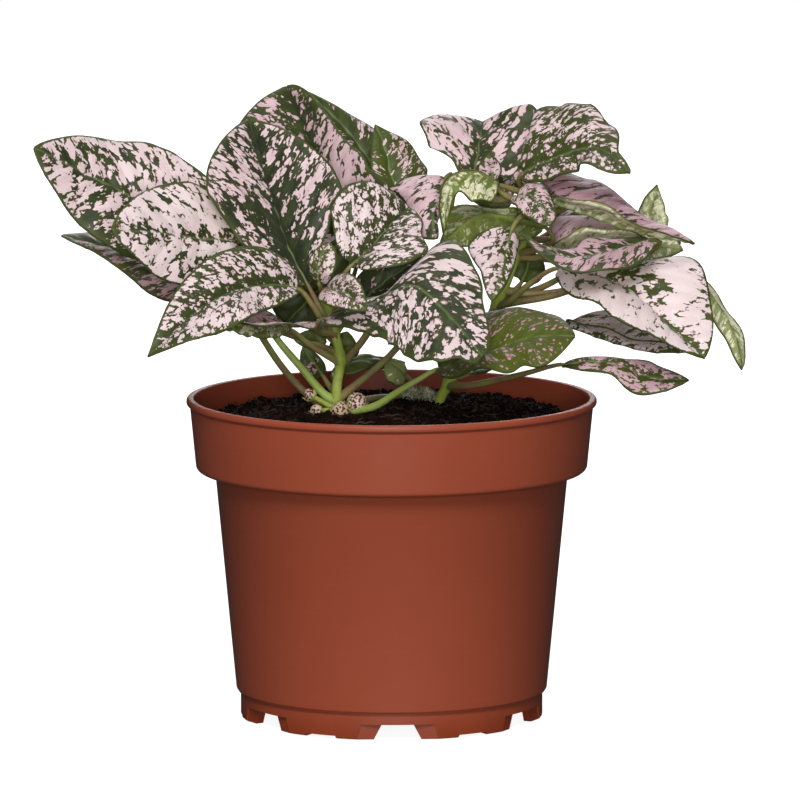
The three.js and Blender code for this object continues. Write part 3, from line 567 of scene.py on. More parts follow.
soil = extruded_rings("peat_soil", SOIL_RINGS, SOIL_SIDES)
top = max(soil.data.polygons, key=lambda face: face.center.z).index
bpy.context.tool_settings.mesh_select_mode = (False, False, True)
take(soil)
bpy.ops.object.mode_set(mode="EDIT")
bpy.ops.mesh.select_all(action="DESELECT")
bpy.ops.object.mode_set(mode="OBJECT")
soil.data.polygons[top].select = True
bpy.ops.object.mode_set(mode="EDIT")
for inset in range(SOIL_INSETS):
    bpy.ops.mesh.inset(thickness=SOIL_EDGE_RADIUS * 0.98 / SOIL_INSETS, use_even_offset=True)
bpy.context.tool_settings.mesh_select_mode = (True, False, False)
bpy.ops.object.mode_set(mode="OBJECT")
for vertex in soil.data.vertices:
    inside = math.hypot(vertex.co.x, vertex.co.y) < SOIL_EDGE_RADIUS - 0.1 * MM
    if inside and vertex.co.z > SOIL_EDGE - 0.1 * MM:
        vertex.co.z = soil_height(vertex.co.x, vertex.co.y)
print("soil points:", len(soil.data.vertices))

# %% Loose crumbs
CRUMBS = 5200
CRUMB_RADII = (0.3, 0.4, 0.4, 0.5, 0.6, 0.9)


def joined(name, shapes):
    """One mesh object from many (vertices, faces) pairs."""
    vertices, faces = [], []
    for points, polygons in shapes:
        faces += [[index + len(vertices) for index in polygon] for polygon in polygons]
        vertices += list(points)
    mesh = bpy.data.meshes.new(name)
    mesh.from_pydata(vertices, [], faces)
    piece = bpy.data.objects.new(name, mesh)
    bpy.context.scene.collection.objects.link(piece)
    return piece


def random_place(reach):
    """A direction, a distance, x and y, spread evenly over a disc."""
    angle = draw.uniform(0, 2 * math.pi)
    radius = reach * math.sqrt(draw.random())
    return angle, radius, radius * math.cos(angle), radius * math.sin(angle)


deselect()
bpy.ops.mesh.primitive_ico_sphere_add(subdivisions=1, radius=1)
model_crumb = rename("model_crumb")
crumb_points = [vertex.co.copy() for vertex in model_crumb.data.vertices]
crumb_faces = [list(face.vertices) for face in model_crumb.data.polygons]
bpy.data.objects.remove(model_crumb)

draw = random.Random(11)
shapes = []
for index in range(CRUMBS):
    _, _, x, y = random_place(55 * MM)
    size = draw.choice(CRUMB_RADII) * draw.uniform(0.7, 1.2) * MM
    centre = Vector((x, y, soil_height(x, y) + size * 0.25))
    turn = Matrix.Rotation(draw.uniform(0, 6.28), 3, (draw.random(), draw.random(), draw.random() + 0.1))
    squash = Vector((draw.uniform(0.7, 1.2), draw.uniform(0.7, 1.2), draw.uniform(0.5, 1)))
    points = [centre + turn @ (point * squash * draw.uniform(0.72, 1.15)) * size for point in crumb_points]
    shapes.append((points, crumb_faces))
crumbs = joined("peat_crumbs", shapes)
print("crumb faces:", len(crumbs.data.polygons))

# %% Fibres
FIBRES = 70
FIBRE_STEPS = 4

fibre_faces = [[0, 1, 2], [3 * FIBRE_STEPS + 2, 3 * FIBRE_STEPS + 1, 3 * FIBRE_STEPS]]
for step in range(FIBRE_STEPS):
    for side in range(3):
        a, b = 3 * step + side, 3 * step + (side + 1) % 3
        fibre_faces.append([a, a + 3, b + 3, b])
shapes = []
for index in range(FIBRES):
    _, _, x, y = random_place(53 * MM)
    heading = draw.uniform(0, 2 * math.pi)
    points = []
    for step in range(FIBRE_STEPS + 1):
        heading += draw.uniform(-0.5, 0.5)
        thick = draw.uniform(0.1, 0.16) * MM * (0.4 if step in (0, FIBRE_STEPS) else 1)
        centre = Vector((x, y, soil_height(x, y) + draw.uniform(0.4, 1.3) * MM))
        side = Vector((-math.sin(heading), math.cos(heading), 0))
        points += [centre + side * thick, centre - side * thick, centre + Vector((0, 0, thick * 1.6))]
        x += draw.uniform(0.8, 1.5) * MM * math.cos(heading)
        y += draw.uniform(0.8, 1.5) * MM * math.sin(heading)
    shapes.append((points, fibre_faces))
fibres = joined("peat_fibres", shapes)
print("fibre faces:", len(fibres.data.polygons))

# %% [markdown]
# A small clump of pale moss grows on the soil behind the runner. Its blades are as thin as hairs,
# so each is a cone with three sides, and several hundred of them cover a dome. Hair curves would
# be lost in an export, and a mesh isn't.

# %% A tuft of moss
MOSS_PLACE = (8 * MM, 18 * MM)
MOSS_RADIUS = 4.8 * MM
MOSS_HEIGHT = 4.2 * MM
MOSS_BLADES = 900
MOSS_BLADE_FOOT = Vector((0.14 * MM, 0, 0))
THIRD_OF_A_TURN = 2.1

shapes = []
for index in range(MOSS_BLADES):
    angle, radius, x, y = random_place(MOSS_RADIUS)
    x, y = MOSS_PLACE[0] + x, MOSS_PLACE[1] + y
    dome = math.sqrt(1 - (radius / MOSS_RADIUS) ** 2)
    lumpy = 1 + 0.5 * noise.noise(Vector((x, y, 0)) / MM / 1.6)
    root = Vector((x, y, soil_height(x, y) + MOSS_HEIGHT * dome * lumpy * draw.uniform(0.6, 0.9)))
    lean = Vector((math.cos(angle), math.sin(angle), 0)) * radius * 0.25
    tip = root + lean + Vector((draw.gauss(0, 0.4), draw.gauss(0, 0.4), draw.uniform(0.8, 1.7))) * MM
    foot = [root + Matrix.Rotation(corner * THIRD_OF_A_TURN + angle, 3, "Z") @ MOSS_BLADE_FOOT
            for corner in range(3)]
    shapes.append(([*foot, tip], [[0, 1, 3], [1, 2, 3], [2, 0, 3]]))
moss = joined("moss_tuft", shapes)
print("moss blades:", MOSS_BLADES)


# %% [markdown]
# Peat is nearly black when moist. Seen close it is a mix of black, dark brown and rusty bits, and
# it shines hardly at all. The same finish serves the body and the crumbs, with each crumb a
# little lighter or darker by its place. The fibres are straw brown.

# %% Peat finishes
peat_material, start, shader = new_material("moist_peat", Specular_IOR_Level=0.08)
place = object_place(start)
coarse = place.noise(260, 4, 0.7)
fine = place.noise(1500, 3, 0.6)
rust = place.noise(520, 2, 0.5).step(0.62, 0.7)
colour = painted(coarse.step(0.35, 0.7).between((14, 7, 5), (40, 21, 14)), (rust * 0.5, (56, 32, 20)))
connect(shader, Base_Color=colour, Roughness=0.75 + fine * 0.3,
        Normal=(coarse + fine * 0.5).bump(0.9, 0.6 * MM))

fibre_material, start, shader = new_material("straw_fibre", Roughness=0.7, Specular_IOR_Level=0.3)
place = object_place(start)
connect(shader, Base_Color=place.noise(300, 2).between((50, 34, 22), (96, 72, 48)))

moss_material, start, shader = new_material("pale_moss", Roughness=0.8, Specular_IOR_Level=0.2)
place = object_place(start)
tufts = place.noise(700, 3, 0.6).step(0.35, 0.65)
connect(shader, Base_Color=tufts.between((84, 88, 58), (214, 212, 184)))

dress(moss, "soil", moss_material)
dress(soil, "soil", peat_material)
dress(crumbs, "soil", peat_material)
dress(fibres, "soil", fibre_material)
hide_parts("soil")
print("soil pieces:", soil.name, crumbs.name, fibres.name, moss.name)


# %% [markdown]
# ## How the leaves are described
# Every leaf of the CAD model follows one recipe: a smooth line through a few places gives the
# stalk and the midrib, and one or more places on each margin give its width and its tilt. Almost
# the same numbers are used here, in millimetres, so that each fine leaf lies on its CAD leaf. A
# few margins were moved a little to follow the photograph more closely. A fourth number at a
# margin place says which share of the midrib it belongs to, where the nearest one is wrong.
#
# The five numbers in brackets are a leaf's looks: how much of it is pink, how streaky it is, how
# mauve it is, which on leaves that lie in shade also stands for painted shade on the pink, how large
# its blotches are, and how olive its green is, where a value above 1 paints shade on an underside
# as a dark olive. A streakiness below 0 runs the streaks along the leaf. Spots change the amount of
# pink near one place: a share of the midrib, a place across, a spread and the change. Curls roll a
# stretch of the margin: the side, the first and last share, a width and an angle. A dotted leaf has
# round dots in its green, a quilted value below 1 makes a smoother leaf, one that is turned over
# shows its underside, and one that is patterned on both sides has no pale underside.

# %% Leaf table: left side
LEAVES = {}


def add_leaf(name, stem, outline, look, stalk, rib, left, right, cup=0.08, spots=(), curls=(),
             quilted=1, dotted=0, turned_over=False, both_patterned=False):
    LEAVES[name] = SimpleNamespace(
        stem=stem, outline=outline, look=look, stalk=np.array(stalk, float), rib=np.array(rib, float),
        left=left, right=right, cup=cup, spots=spots, curls=curls, quilted=quilted, dotted=dotted,
        turned_over=turned_over, both_patterned=both_patterned)


add_leaf("far_left", "left", "oval", (0.69, 0.15, 0.15, 1.4, 0.2),
         stalk=[(-16, 0, 90), (-22, 4, 92), (-30, 8, 99), (-39, 16, 111), (-46, 24, 124)],
         rib=[(-49, 12, 140), (-71, 12, 149), (-85, 10, 156), (-104.5, 2, 167)],
         left=[(-70, 4, 133), (-89, 0, 143)], right=[(-59, 20, 160), (-71, 22, 166), (-85, 18, 168)],
         spots=[(0.6, -0.95, 0.3, -0.35)])
add_leaf("far_left_lower", "left", "oval", (0.56, 0.7, 0.85, 0.9, 0.5),
         stalk=[(-16, 0, 93), (-19, 1, 94), (-27, 2, 103), (-33, 3, 110), (-38, 4, 117)],
         rib=[(-44, 4, 124), (-62, 10, 131), (-80, 14, 135), (-97, 12, 140)],
         left=[(-70, -1, 124), (-83, 6, 134)], right=[(-71, 28, 135), (-83, 26, 138)])
add_leaf("left_pale", "left", "oval", (0.75, 0.1, 0.0, 1.4, 0.2),
         stalk=[(-17, -2, 115), (-19, 2, 117), (-30, 6, 128)],
         rib=[(-43, 3, 139), (-56, -4, 141), (-68, -14, 144), (-81, -24, 146)],
         left=[(-62, -18, 129), (-73, -24, 137)], right=[(-59, 0, 157), (-71, -8, 156)], dotted=0.5)
add_leaf("left_upright", "left", "oval", (0.6, 0.3, 0.25, 1.3, 0.05),
         stalk=[(-17, -2, 115), (-19, -3, 117), (-21, -4.5, 121)],
         rib=[(-24, -5, 127), (-30, 0, 138), (-36, 10, 155), (-42, 22, 173)],
         left=[(-33, -7, 133), (-45, -8, 142), (-54, -6, 155), (-51, 6, 166)],
         right=[(-20, -6, 137), (-18, -3, 146), (-14, 0, 155), (-25, 12, 167)],
         spots=[(0.12, 0.0, 0.5, -0.4), (1.0, 0.0, 0.3, -0.4)])
add_leaf("front_left", "left", "pointed", (0.62, 0.1, 0.1, 1.0, 0.3),
         stalk=[(-17, -2, 114), (-20, -5, 117), (-23, -8, 122)],
         rib=[(-27, -10, 127), (-41, -22, 129), (-54, -34, 125), (-70, -46, 112)],
         left=[(-34, -26, 124), (-46, -42, 120), (-60, -48, 116)],
         right=[(-35, -12, 139), (-50, -22, 139), (-62, -34, 130)], dotted=0.6)
add_leaf("front_left_lower", "left", "pointed", (0.68, 0.4, 0.9, 0.9, 1.0),
         stalk=[(-15, 0, 104), (-18, -2, 106), (-24, -4, 110)],
         rib=[(-30, -8, 115), (-34, -13, 114), (-42, -20, 115), (-54, -26, 120)],
         left=[(-39, -33, 120)], right=[(-38, -4, 122)], curls=[(1, 0.0, 0.98, 4.5, 110)])
print("leaves so far:", len(LEAVES))

# %% Leaf table: middle
add_leaf("centre_round", "left", "round", (0.61, 0.1, 0.05, 0.9, 0.3),
         stalk=[(-19, -5, 123), (-18, -9, 127), (-15, -12, 130)],
         rib=[(-12, -13, 134), (-6, -8, 139), (0, -2, 145), (5, 6, 149)],
         left=[(-19, -12, 143), (-17, -4, 152), (-7, 3, 157)],
         right=[(-2, -21, 134), (10, -14, 138), (9, -4, 143)], dotted=0.6)
add_leaf("young_upright", "left", "round", (0.72, 0.2, 0.15, 0.5, 0.9),
         stalk=[(-19, -5, 123), (-20, -8, 126)], rib=[(-21, -12, 129), (-21, -15, 135), (-18, -13, 141)],
         left=[(-24, -13, 135)], right=[(-16, -17, 135)])
add_leaf("young_front", "left", "oval", (0.72, 0.1, 0.3, 0.5, 0.6),
         stalk=[(-19, -5, 123), (-20, -11, 125)],
         rib=[(-19, -18, 128), (-14, -28, 128.5), (-7, -35, 124)],
         left=[(-12, -25, 133.5)], right=[(-16, -32, 124.5)])
print("leaves so far:", len(LEAVES))

# %% Leaf table: top
add_leaf("top_left", "left", "round", (0.5, 0.3, 0.5, 1.2, 0.25),
         stalk=[(-17, -2, 116), (-17, 2, 121), (-15, 8, 130)],
         rib=[(-14, 12, 140), (-21, 20, 158), (-26, 27, 171), (-31, 32, 182)],
         left=[(-38, 14, 158), (-44, 23, 172)], right=[(1, 8, 149), (-7, 9, 161), (-17, 18, 172)],
         spots=[(0.6, -0.7, 0.35, 0.2), (0.4, 0.65, 0.3, 0.3)])
add_leaf("top_back", "left", "oval", (0.44, 0.8, 0.5, 0.8, 0.4),
         stalk=[(-17, -2, 113), (-13, 6, 120), (-6, 16, 131)],
         rib=[(2, 22, 142), (-6, 30, 159), (-15, 35, 170), (-26, 38, 180)],
         left=[(-15, 26, 158)], right=[(10, 30, 157), (-5, 38, 169), (-15, 40, 174)])
add_leaf("top_folded", "left", "pointed", (0.52, 0.5, 0.4, 0.8, 0.8),
         stalk=[(-15, 0, 103), (-7, 7, 112), (0, 15, 130)],
         rib=[(4, 17, 147), (0, 21, 156), (-2, 24, 164), (-5, 28, 171)],
         left=[(-6, 22, 163)], right=[(10, 26, 158), (2, 29, 167)])
add_leaf("centre_mauve", "left", "round", (0.74, 0.5, 0.5, 1.0, 0.1),
         stalk=[(-16, 0, 93), (-3, 6, 103), (2, 8, 108), (9, 14, 124), (16, 21, 140), (18, 23, 150),
                (18, 20, 157)],
         rib=[(16, 15, 157), (14, 9, 152), (12, 6, 146), (13, 3, 140)],
         left=[(15, 12, 148)], right=[(4, 19, 158), (0, 16, 154), (5, 9, 146)])
add_leaf("centre_hooked", "right", "slim", (0.74, 0.2, 0.3, 1.2, 1.0),
         stalk=[(43, 9, 151), (36, 7, 154)],
         rib=[(31, 4, 156), (24, -2, 159), (17, -6, 156), (15, -8, 143)],
         left=[(26.5, 0.5, 160, 0.22), (13.8, -9, 152, 0.74)],
         right=[(29, -3, 151.5, 0.18), (24, -7, 152.5, 0.36), (19.5, -7.5, 155.3, 0.5),
                (17.5, -5.5, 151, 0.72)],
         spots=[(0.8, 0.0, 0.35, 0.3)])
add_leaf("front_centre", "left", "round", (0.6, 0.1, 0.1, 1.5, 0.1),
         stalk=[(-17, -2, 113), (-21, -7, 114), (-22, -12, 116)],
         rib=[(-20, -15, 119), (-4, -22, 125), (6, -29, 130.5), (16, -40, 123.5), (26, -50, 112.3)],
         left=[(-3, -8, 125), (7, -7, 134.5), (16, -11, 141), (25, -25, 133.5), (27.5, -40, 121)],
         right=[(-14, -26, 118.5, 0.2), (-8.3, -31, 117.3, 0.3), (-4.5, -35.5, 116, 0.38),
                (-0.5, -40, 114.5, 0.46), (3, -45, 113, 0.54), (6.5, -49, 111.8, 0.62),
                (13, -54, 111.5, 0.75), (20, -54, 112.4, 0.88)],
         cup=0.02, dotted=0.8)
add_leaf("top_waved", "right", "round", (0.62, 0.25, 0.35, 1.6, 0.25),
         stalk=[(43, 9, 151), (36, 10, 151), (28, 11, 151)],
         rib=[(24, 12, 156), (25, 18, 162), (26, 24, 167), (27, 34, 171)],
         left=[(18, 12, 160), (11, 17, 166), (9, 26, 173)],
         right=[(38, 17, 160), (45, 22, 171), (39, 32, 178)], spots=[(0.6, -0.8, 0.5, 0.25)])
add_leaf("top_right", "right", "round", (0.5, 0.0, 0.2, 0.9, 0.5),
         stalk=[(44, 8, 154), (38, 9, 155)],
         rib=[(38, 4, 159), (47, -2, 164), (59, -9, 168), (69, -20, 162)],
         left=[(37, 10, 169), (42, 11, 176), (50, 9, 179), (58, 4, 179), (63, -1, 174), (66, -13, 167)],
         right=[(52, -12, 161), (61, -21, 163)], dotted=1.0)
print("leaves so far:", len(LEAVES))

# %% Leaf table: right side
add_leaf("right_long", "right", "slim", (0.78, 0.85, 0.95, 1.3, 0.2),
         stalk=[(42, 10, 145), (50, 7, 149)],
         rib=[(47, -2, 152), (57, -10, 149), (72, -14, 144), (88, -16, 141)],
         left=[(44, 5, 157, 0.1), (50, 6, 160, 0.22), (58, 5, 157.5, 0.38), (67, 2, 152, 0.58),
               (79, -4, 145, 0.8)],
         right=[(52, -14, 153.5), (62, -20, 151), (73, -20, 146)], curls=[(1, 0.05, 0.75, 2.1, 90)])
add_leaf("right_inner", "right", "oval", (0.8, 0.8, 0.7, 1.2, 0.3),
         stalk=[(37, 10, 134), (42, 7, 134)],
         rib=[(48, 2, 136), (55, -2, 138), (65, -4, 140), (76, -4, 140)],
         left=[(46.5, 10.5, 142.5, 0.1), (48.5, 11.5, 145.5, 0.2), (58, 8, 147), (68, 3, 143)],
         right=[(60, -11, 144)], curls=[(1, 0.1, 0.9, 2.3, 90)])
add_leaf("right_hooked", "right", "slim", (0.68, 0.7, 0.75, 1.2, 0.3),
         stalk=[(31, 10, 120), (36, 7, 121), (49, 3, 124), (64, -2, 131), (76, -7, 138), (78, -11, 141)],
         rib=[(75, -14, 142), (66, -20, 140), (54, -25, 138), (45, -28, 140), (38, -26, 145)],
         left=[(60, -36, 135), (48, -34, 137)], right=[(69, -12, 143), (57, -15, 142), (50, -20, 140)])
add_leaf("right_pale", "right", "oval", (0.9, 0.1, 0.0, 1.5, 0.6),
         stalk=[(31, 10, 119), (34, 6, 121), (40, 0, 127)],
         rib=[(49, -8, 133), (67, -20, 129), (80, -32, 119), (90, -42, 111)],
         left=[(72, -8, 136), (89, -16, 135), (93, -28, 123)],
         right=[(49, -20, 129), (66, -38, 122), (83, -46, 113)],
         spots=[(0.1, 0.4, 0.25, -0.2), (0.26, -0.35, 0.24, -0.5), (0.5, -0.25, 0.18, -0.5),
                (0.8, -0.95, 0.26, -0.4), (0.74, 0.1, 0.14, -0.4), (1.0, 0.0, 0.22, -0.7)])
add_leaf("far_right", "right", "slim", (0.7, 0.95, 0.2, 0.8, 0.2),
         stalk=[(33, 10, 124), (42, 9, 123), (61, 7, 126)],
         rib=[(87, 4, 129), (94, 4, 122), (100, 0, 112), (102, -8, 103)],
         left=[(95, 0, 115)], right=[(102.6, 6, 111)])
add_leaf("right_back_small", "right", "pointed", (0.76, 0.3, 0.2, 0.6, 0.1),
         stalk=[(39, 10, 139), (46, 17, 138), (62, 20, 134)],
         rib=[(76, 19, 138), (76, 20, 146), (78, 21, 154)],
         left=[(80, 22, 148)], right=[(73, 18, 148)])
print("leaves so far:", len(LEAVES))

# %% Leaf table: low on the right
add_leaf("right_low_folded", "right", "round", (0.78, 0.5, 0.0, 0.9, 1.0),
         stalk=[(30, 10, 118), (34, 6, 117), (43, 1, 115)],
         rib=[(51, -5, 116), (62, -13, 113), (75, -18, 110), (88, -20, 110)],
         left=[(56, 5, 121), (69, -2, 117)], right=[(60, -20, 117), (73, -24, 114)], quilted=0.3,
         both_patterned=True)
add_leaf("front_right", "left", "oval", (0.34, 0.1, 1.0, 0.7, 1.5),
         stalk=[(-16, 0, 89), (-12, -2, 90), (-5, -6, 92), (2, -10, 97), (8, -13, 101)],
         rib=[(13, -14, 104), (28, -22, 110), (41, -28, 115), (53, -32, 116)],
         left=[(23, -6, 118), (36, -10, 121), (50, -22, 119)],
         right=[(25, -32, 106), (37, -38, 108), (49, -40, 110)], dotted=0.85)
add_leaf("right_low_twisted", "right", "slim", (0.72, -1.6, 0.75, 1.4, 0.7),
         stalk=[(17, 15, 95), (19, 8, 96), (23, 2, 97), (32, -6, 100), (40, -13, 103)],
         rib=[(49, -18, 106), (63, -22, 107), (75, -26, 103), (86, -30, 103)],
         left=[(66, -20, 108), (76, -22, 107)], right=[(63, -26, 104), (76, -32, 99)])
add_leaf("low_green", "right", "slim", (-0.3, 0.1, 0.2, 0.8, 1.0),
         stalk=[(18, 15, 98), (20, 14, 98)],
         rib=[(23, 13, 99), (29, 11, 101), (37, 9, 103), (46, 6, 104)],
         left=[(34, 18, 104)], right=[(33, 4, 102)])
print("leaves so far:", len(LEAVES))

# %% Leaf table: middle of the right shoot
add_leaf("centre_underside", "right", "oval", (0.55, 0.3, 0.3, 1.0, 1.85),
         stalk=[(37, 10, 135), (43, 5, 137), (47, 0, 140)],
         rib=[(45, -2, 144), (36, 0, 146), (26, 2, 147), (15, -2, 139.5)],
         left=[(39, 5, 148), (29, 9, 149), (16.5, 7, 147)],
         right=[(37, -2, 140), (26, -6, 139), (19, -5, 137)])
add_leaf("centre_hanging", "right", "oval", (0.76, 0.2, 0.2, 0.8, 0.5),
         stalk=[(43, 9, 150), (42.5, 3, 150), (40, -3, 149), (37, -9, 147.5)],
         rib=[(35, -13, 145), (33, -13, 138), (31, -18, 131), (29, -22, 125)],
         left=[(37, -10, 141), (35, -15, 133)], right=[(22, -14, 140), (26, -17, 133)])
add_leaf("young_top", "right", "pointed", (0.85, 0.3, 0.35, 0.6, 0.5),
         stalk=[(43, 9, 151), (34, 7, 152)], rib=[(30, 6.5, 156.5), (29, 6.5, 161), (28, 5, 165)],
         left=[(25, 7, 160)], right=[(32, 8, 160)])
add_leaf("young_right", "right", "round", (0.7, 0.2, 0.5, 0.6, 0.5),
         stalk=[(43, 9, 151), (38, 6, 151)],
         rib=[(36, -1, 153), (40, -6, 154), (44, -11, 150), (46, -14, 146)],
         left=[(40, -1, 157), (47, -8, 152)], right=[(36, -9, 151)])
add_leaf("inner_green", "right", "round", (-0.2, 0.2, 0.2, 0.8, 0.8),
         stalk=[(32, 10, 122), (35, 12, 123)], rib=[(38, 13, 126), (40, 14, 131), (41, 14, 135)],
         left=[(35, 14, 132)], right=[(45, 14, 130)])
add_leaf("right_behind_pale", "right", "oval", (0.62, 0.3, 0.3, 0.8, 0.3),
         stalk=[(37, 10, 135), (46, 12, 133)], rib=[(58, 12, 133), (72, 8, 137), (85, 1, 137)],
         left=[(77, 13, 141)], right=[(74, 2, 133)], turned_over=True)
print("leaves so far:", len(LEAVES))

# %% Leaf table: low and inner leaves
add_leaf("low_back_green", "left", "oval", (-0.2, 0.2, 0.2, 0.8, 0.9),
         stalk=[(-16, 0, 96), (-16, 6, 97)], rib=[(-17, 14, 99), (-9, 17, 102.5), (4, 22, 101)],
         left=[(-6, 22, 103)], right=[(-6, 14, 100)])
add_leaf("low_back_pale", "left", "round", (0.3, 0.4, 0.4, 0.8, 0.6),
         stalk=[(-16, 0, 91), (-6, 10, 92), (4, 18, 92.5), (6, 17, 95.5)],
         rib=[(4.5, 14, 98), (1.5, 13, 100.5), (-2, 13, 102)],
         left=[(-2, 10, 99.3)], right=[(3.5, 16, 101.7)], turned_over=True)
add_leaf("low_grey", "left", "oval", (0.5, 0.4, 0.9, 0.7, 0.3),
         stalk=[(-16, 0, 94), (-18, 6, 96)], rib=[(-20, 7, 99), (-23, 5.3, 103.5), (-26, 4.5, 108)],
         left=[(-26, 5, 100.5)], right=[(-21.5, 5.5, 105.5)])
add_leaf("inner_middle", "left", "oval", (0.45, 0.5, 0.8, 1.2, 0.2),
         stalk=[(-17, -2, 112), (-14, 0, 116)],
         rib=[(-11, 0.5, 119.5), (-4, 1.5, 126), (3, 2.5, 131), (9, 4, 135)],
         left=[(-8, 4, 131), (1, 6, 137)], right=[(3, -2, 122), (9, 0, 128)])
add_leaf("inner_left", "left", "oval", (0.1, 0.3, 0.8, 1.0, 0.3),
         stalk=[(-17, -2, 117), (-16.5, 4, 122), (-18, 7, 124.5)],
         rib=[(-20.5, 8.3, 124.8), (-24, 9, 122), (-28, 9.5, 117.5), (-32, 9, 114)],
         left=[(-22, 9, 115.5)], right=[(-28, 9, 126.5), (-36, 9, 121)])
print("leaves so far:", len(LEAVES))

# %% Leaf table: far side
FAR_SIDE_LOOK = (0.6, 0.4, 0.3, 1.0, 0.3)

add_leaf("back_left", "left", "oval", FAR_SIDE_LOOK,
         stalk=[(-16, 0, 110), (-22, 10, 114), (-28, 18, 121)],
         rib=[(-33, 24, 128), (-42, 36, 135), (-50, 48, 135), (-56, 59, 127)],
         left=[(-54, 37, 137)], right=[(-34, 50, 139)])
add_leaf("back_left_low", "left", "pointed", FAR_SIDE_LOOK,
         stalk=[(-16, 0, 107), (-28, 12, 110), (-40, 22, 114)],
         rib=[(-46, 28, 124), (-55, 36, 130), (-64, 43, 132), (-73, 49, 130)],
         left=[(-62, 28, 127)], right=[(-57, 50, 127)])
add_leaf("back_middle", "left", "oval", FAR_SIDE_LOOK,
         stalk=[(-17, -2, 114), (-15, 12, 118), (-12, 24, 124)],
         rib=[(-10, 30, 130), (-8, 40, 137), (-6, 50, 136), (-4, 59, 128)],
         left=[(-24, 42, 134)], right=[(8, 44, 137)])
add_leaf("back_centre", "right", "oval", FAR_SIDE_LOOK,
         stalk=[(37, 10, 134), (35, 15, 137), (33, 22, 144)],
         rib=[(32, 27, 150), (31, 38, 156), (30, 49, 156), (29, 59, 149)],
         left=[(20, 42, 154)], right=[(43, 46, 158)])
add_leaf("back_right", "right", "oval", FAR_SIDE_LOOK,
         stalk=[(37, 10, 136), (43, 18, 138), (47, 23, 140)],
         rib=[(49, 27, 143), (53, 38, 147), (57, 49, 145), (60, 59, 137)],
         left=[(40, 46, 146)], right=[(66, 39, 143)])
add_leaf("back_far_right", "right", "pointed", FAR_SIDE_LOOK,
         stalk=[(31, 10, 121), (44, 17, 124), (54, 22, 129)],
         rib=[(61, 25, 134), (70, 34, 139), (78, 42, 138), (85, 50, 131)],
         left=[(67, 46, 139)], right=[(82, 26, 135)])
print("leaves so far:", len(LEAVES))


# %% [markdown]
# The youngest leaves stand crowded in the heart of the left shoot and at the tip of the right
# one. They are too small for the CAD model, but without them the background would show through
# there. They are described like the other leaves, and no CAD leaf is replaced by them.

# %% Leaf table: smallest leaves
add_leaf("tip_shaded", "right", "oval", (0.35, 0.3, 0.6, 0.8, 0.9),
         stalk=[(42.5, 10.2, 148.5), (39, 13, 149)],
         rib=[(36, 15, 150), (29, 17, 151.5), (22, 18, 151.5)],
         left=[(29, 16, 147)], right=[(29, 17.5, 155.5)])
add_leaf("tip_pink", "right", "round", (0.95, 0.3, 0.7, 0.6, 0.6),
         stalk=[(44, 8.5, 153.5), (43, 10.5, 154.5)],
         rib=[(41.5, 11.5, 155.5), (38.5, 12.3, 157), (35.5, 12.3, 157.6)],
         left=[(38.5, 11.5, 154.3)], right=[(38.5, 12.8, 159.8)])
add_leaf("tip_pale", "right", "round", (0.7, 0.3, 0.3, 0.6, 0.3),
         stalk=[(44, 8.5, 154.5), (44.2, 9.8, 155.5)],
         rib=[(44.5, 10.5, 156.3), (46.5, 11, 158), (49, 11, 159.3)],
         left=[(46, 11.2, 160)], right=[(47.6, 10.4, 156.3)], turned_over=True)
add_leaf("heart_shaded", "left", "oval", (0.3, 0.3, 0.6, 0.8, 0.4),
         stalk=[(-18.5, -2.5, 117.5), (-20.5, 0, 121)],
         rib=[(-20.5, 3, 125), (-18, 5, 132), (-15.5, 5, 140)],
         left=[(-23, 4.5, 132)], right=[(-12, 6, 133)])
add_leaf("low_shaded", "left", "oval", (0.2, 0.3, 0.6, 0.8, 0.8),
         stalk=[(-15.5, 1, 104), (-17.5, 4.5, 105.5)],
         rib=[(-19.5, 6, 107), (-24, 6.8, 109), (-28.5, 6.8, 110)],
         left=[(-24, 6.8, 106.8)], right=[(-24, 7, 112.8)])
add_leaf("low_fresh", "left", "oval", (-0.2, 0.2, 0.2, 0.8, 1.0),
         stalk=[(-15.5, 1, 102), (-15.3, 3.5, 103)],
         rib=[(-15, 5, 104.5), (-14.5, 7.5, 108), (-13, 9, 112)],
         left=[(-18, 8, 108.5)], right=[(-10.5, 8.5, 109)])
print("leaves:", len(LEAVES))


# %% [markdown]
# ## From the table to a surface
# A Catmull-Rom curve passes through all its places, so it suits a midrib given by a few points.
# At each station of the midrib there is a direction to the side and one upwards, carried along
# with as little turning as possible. The two margins are measured in those directions.

# %% Smooth lines through places
CURVE_STEPS = 60
RIB_STATIONS = 41


def curve_point(places, place):
    """A point of the centripetal Catmull-Rom curve; place 1.5 is halfway from place 1 to place 2."""
    index = min(int(place), len(places) - 2)
    part = place - index
    b, c = places[index], places[index + 1]
    a = places[index - 1] if index > 0 else 2 * b - c
    d = places[index + 2] if index + 2 < len(places) else 2 * c - b
    ab, bc, cd = (np.linalg.norm(q - p) ** 0.5 for p, q in ((a, b), (b, c), (c, d)))
    leave = ((b - a) / ab - (c - a) / (ab + bc) + (c - b) / bc) * bc
    arrive = ((c - b) / bc - (d - b) / (bc + cd) + (d - c) / cd) * bc
    bend = 3 * (c - b) - 2 * leave - arrive
    twist = 2 * (b - c) + leave + arrive
    return b + leave * part + bend * part ** 2 + twist * part ** 3


def even_points(places, first, last, count):
    """Evenly spaced points along the part of a smooth line between two of its places."""
    trail = np.array([curve_point(places, place)
                      for place in np.linspace(first, last, CURVE_STEPS + 1)])
    steps = np.linalg.norm(np.diff(trail, axis=0), axis=1)
    lengths = np.concatenate([[0], np.cumsum(steps)])
    wanted = np.linspace(0, lengths[-1], count)
    return np.stack([np.interp(wanted, lengths, trail[:, axis]) for axis in range(3)], axis=1)


def line_of(leaf):
    return np.concatenate([leaf.stalk, leaf.rib])


def length_of(line):
    return np.linalg.norm(np.diff(line, axis=0), axis=1).sum()


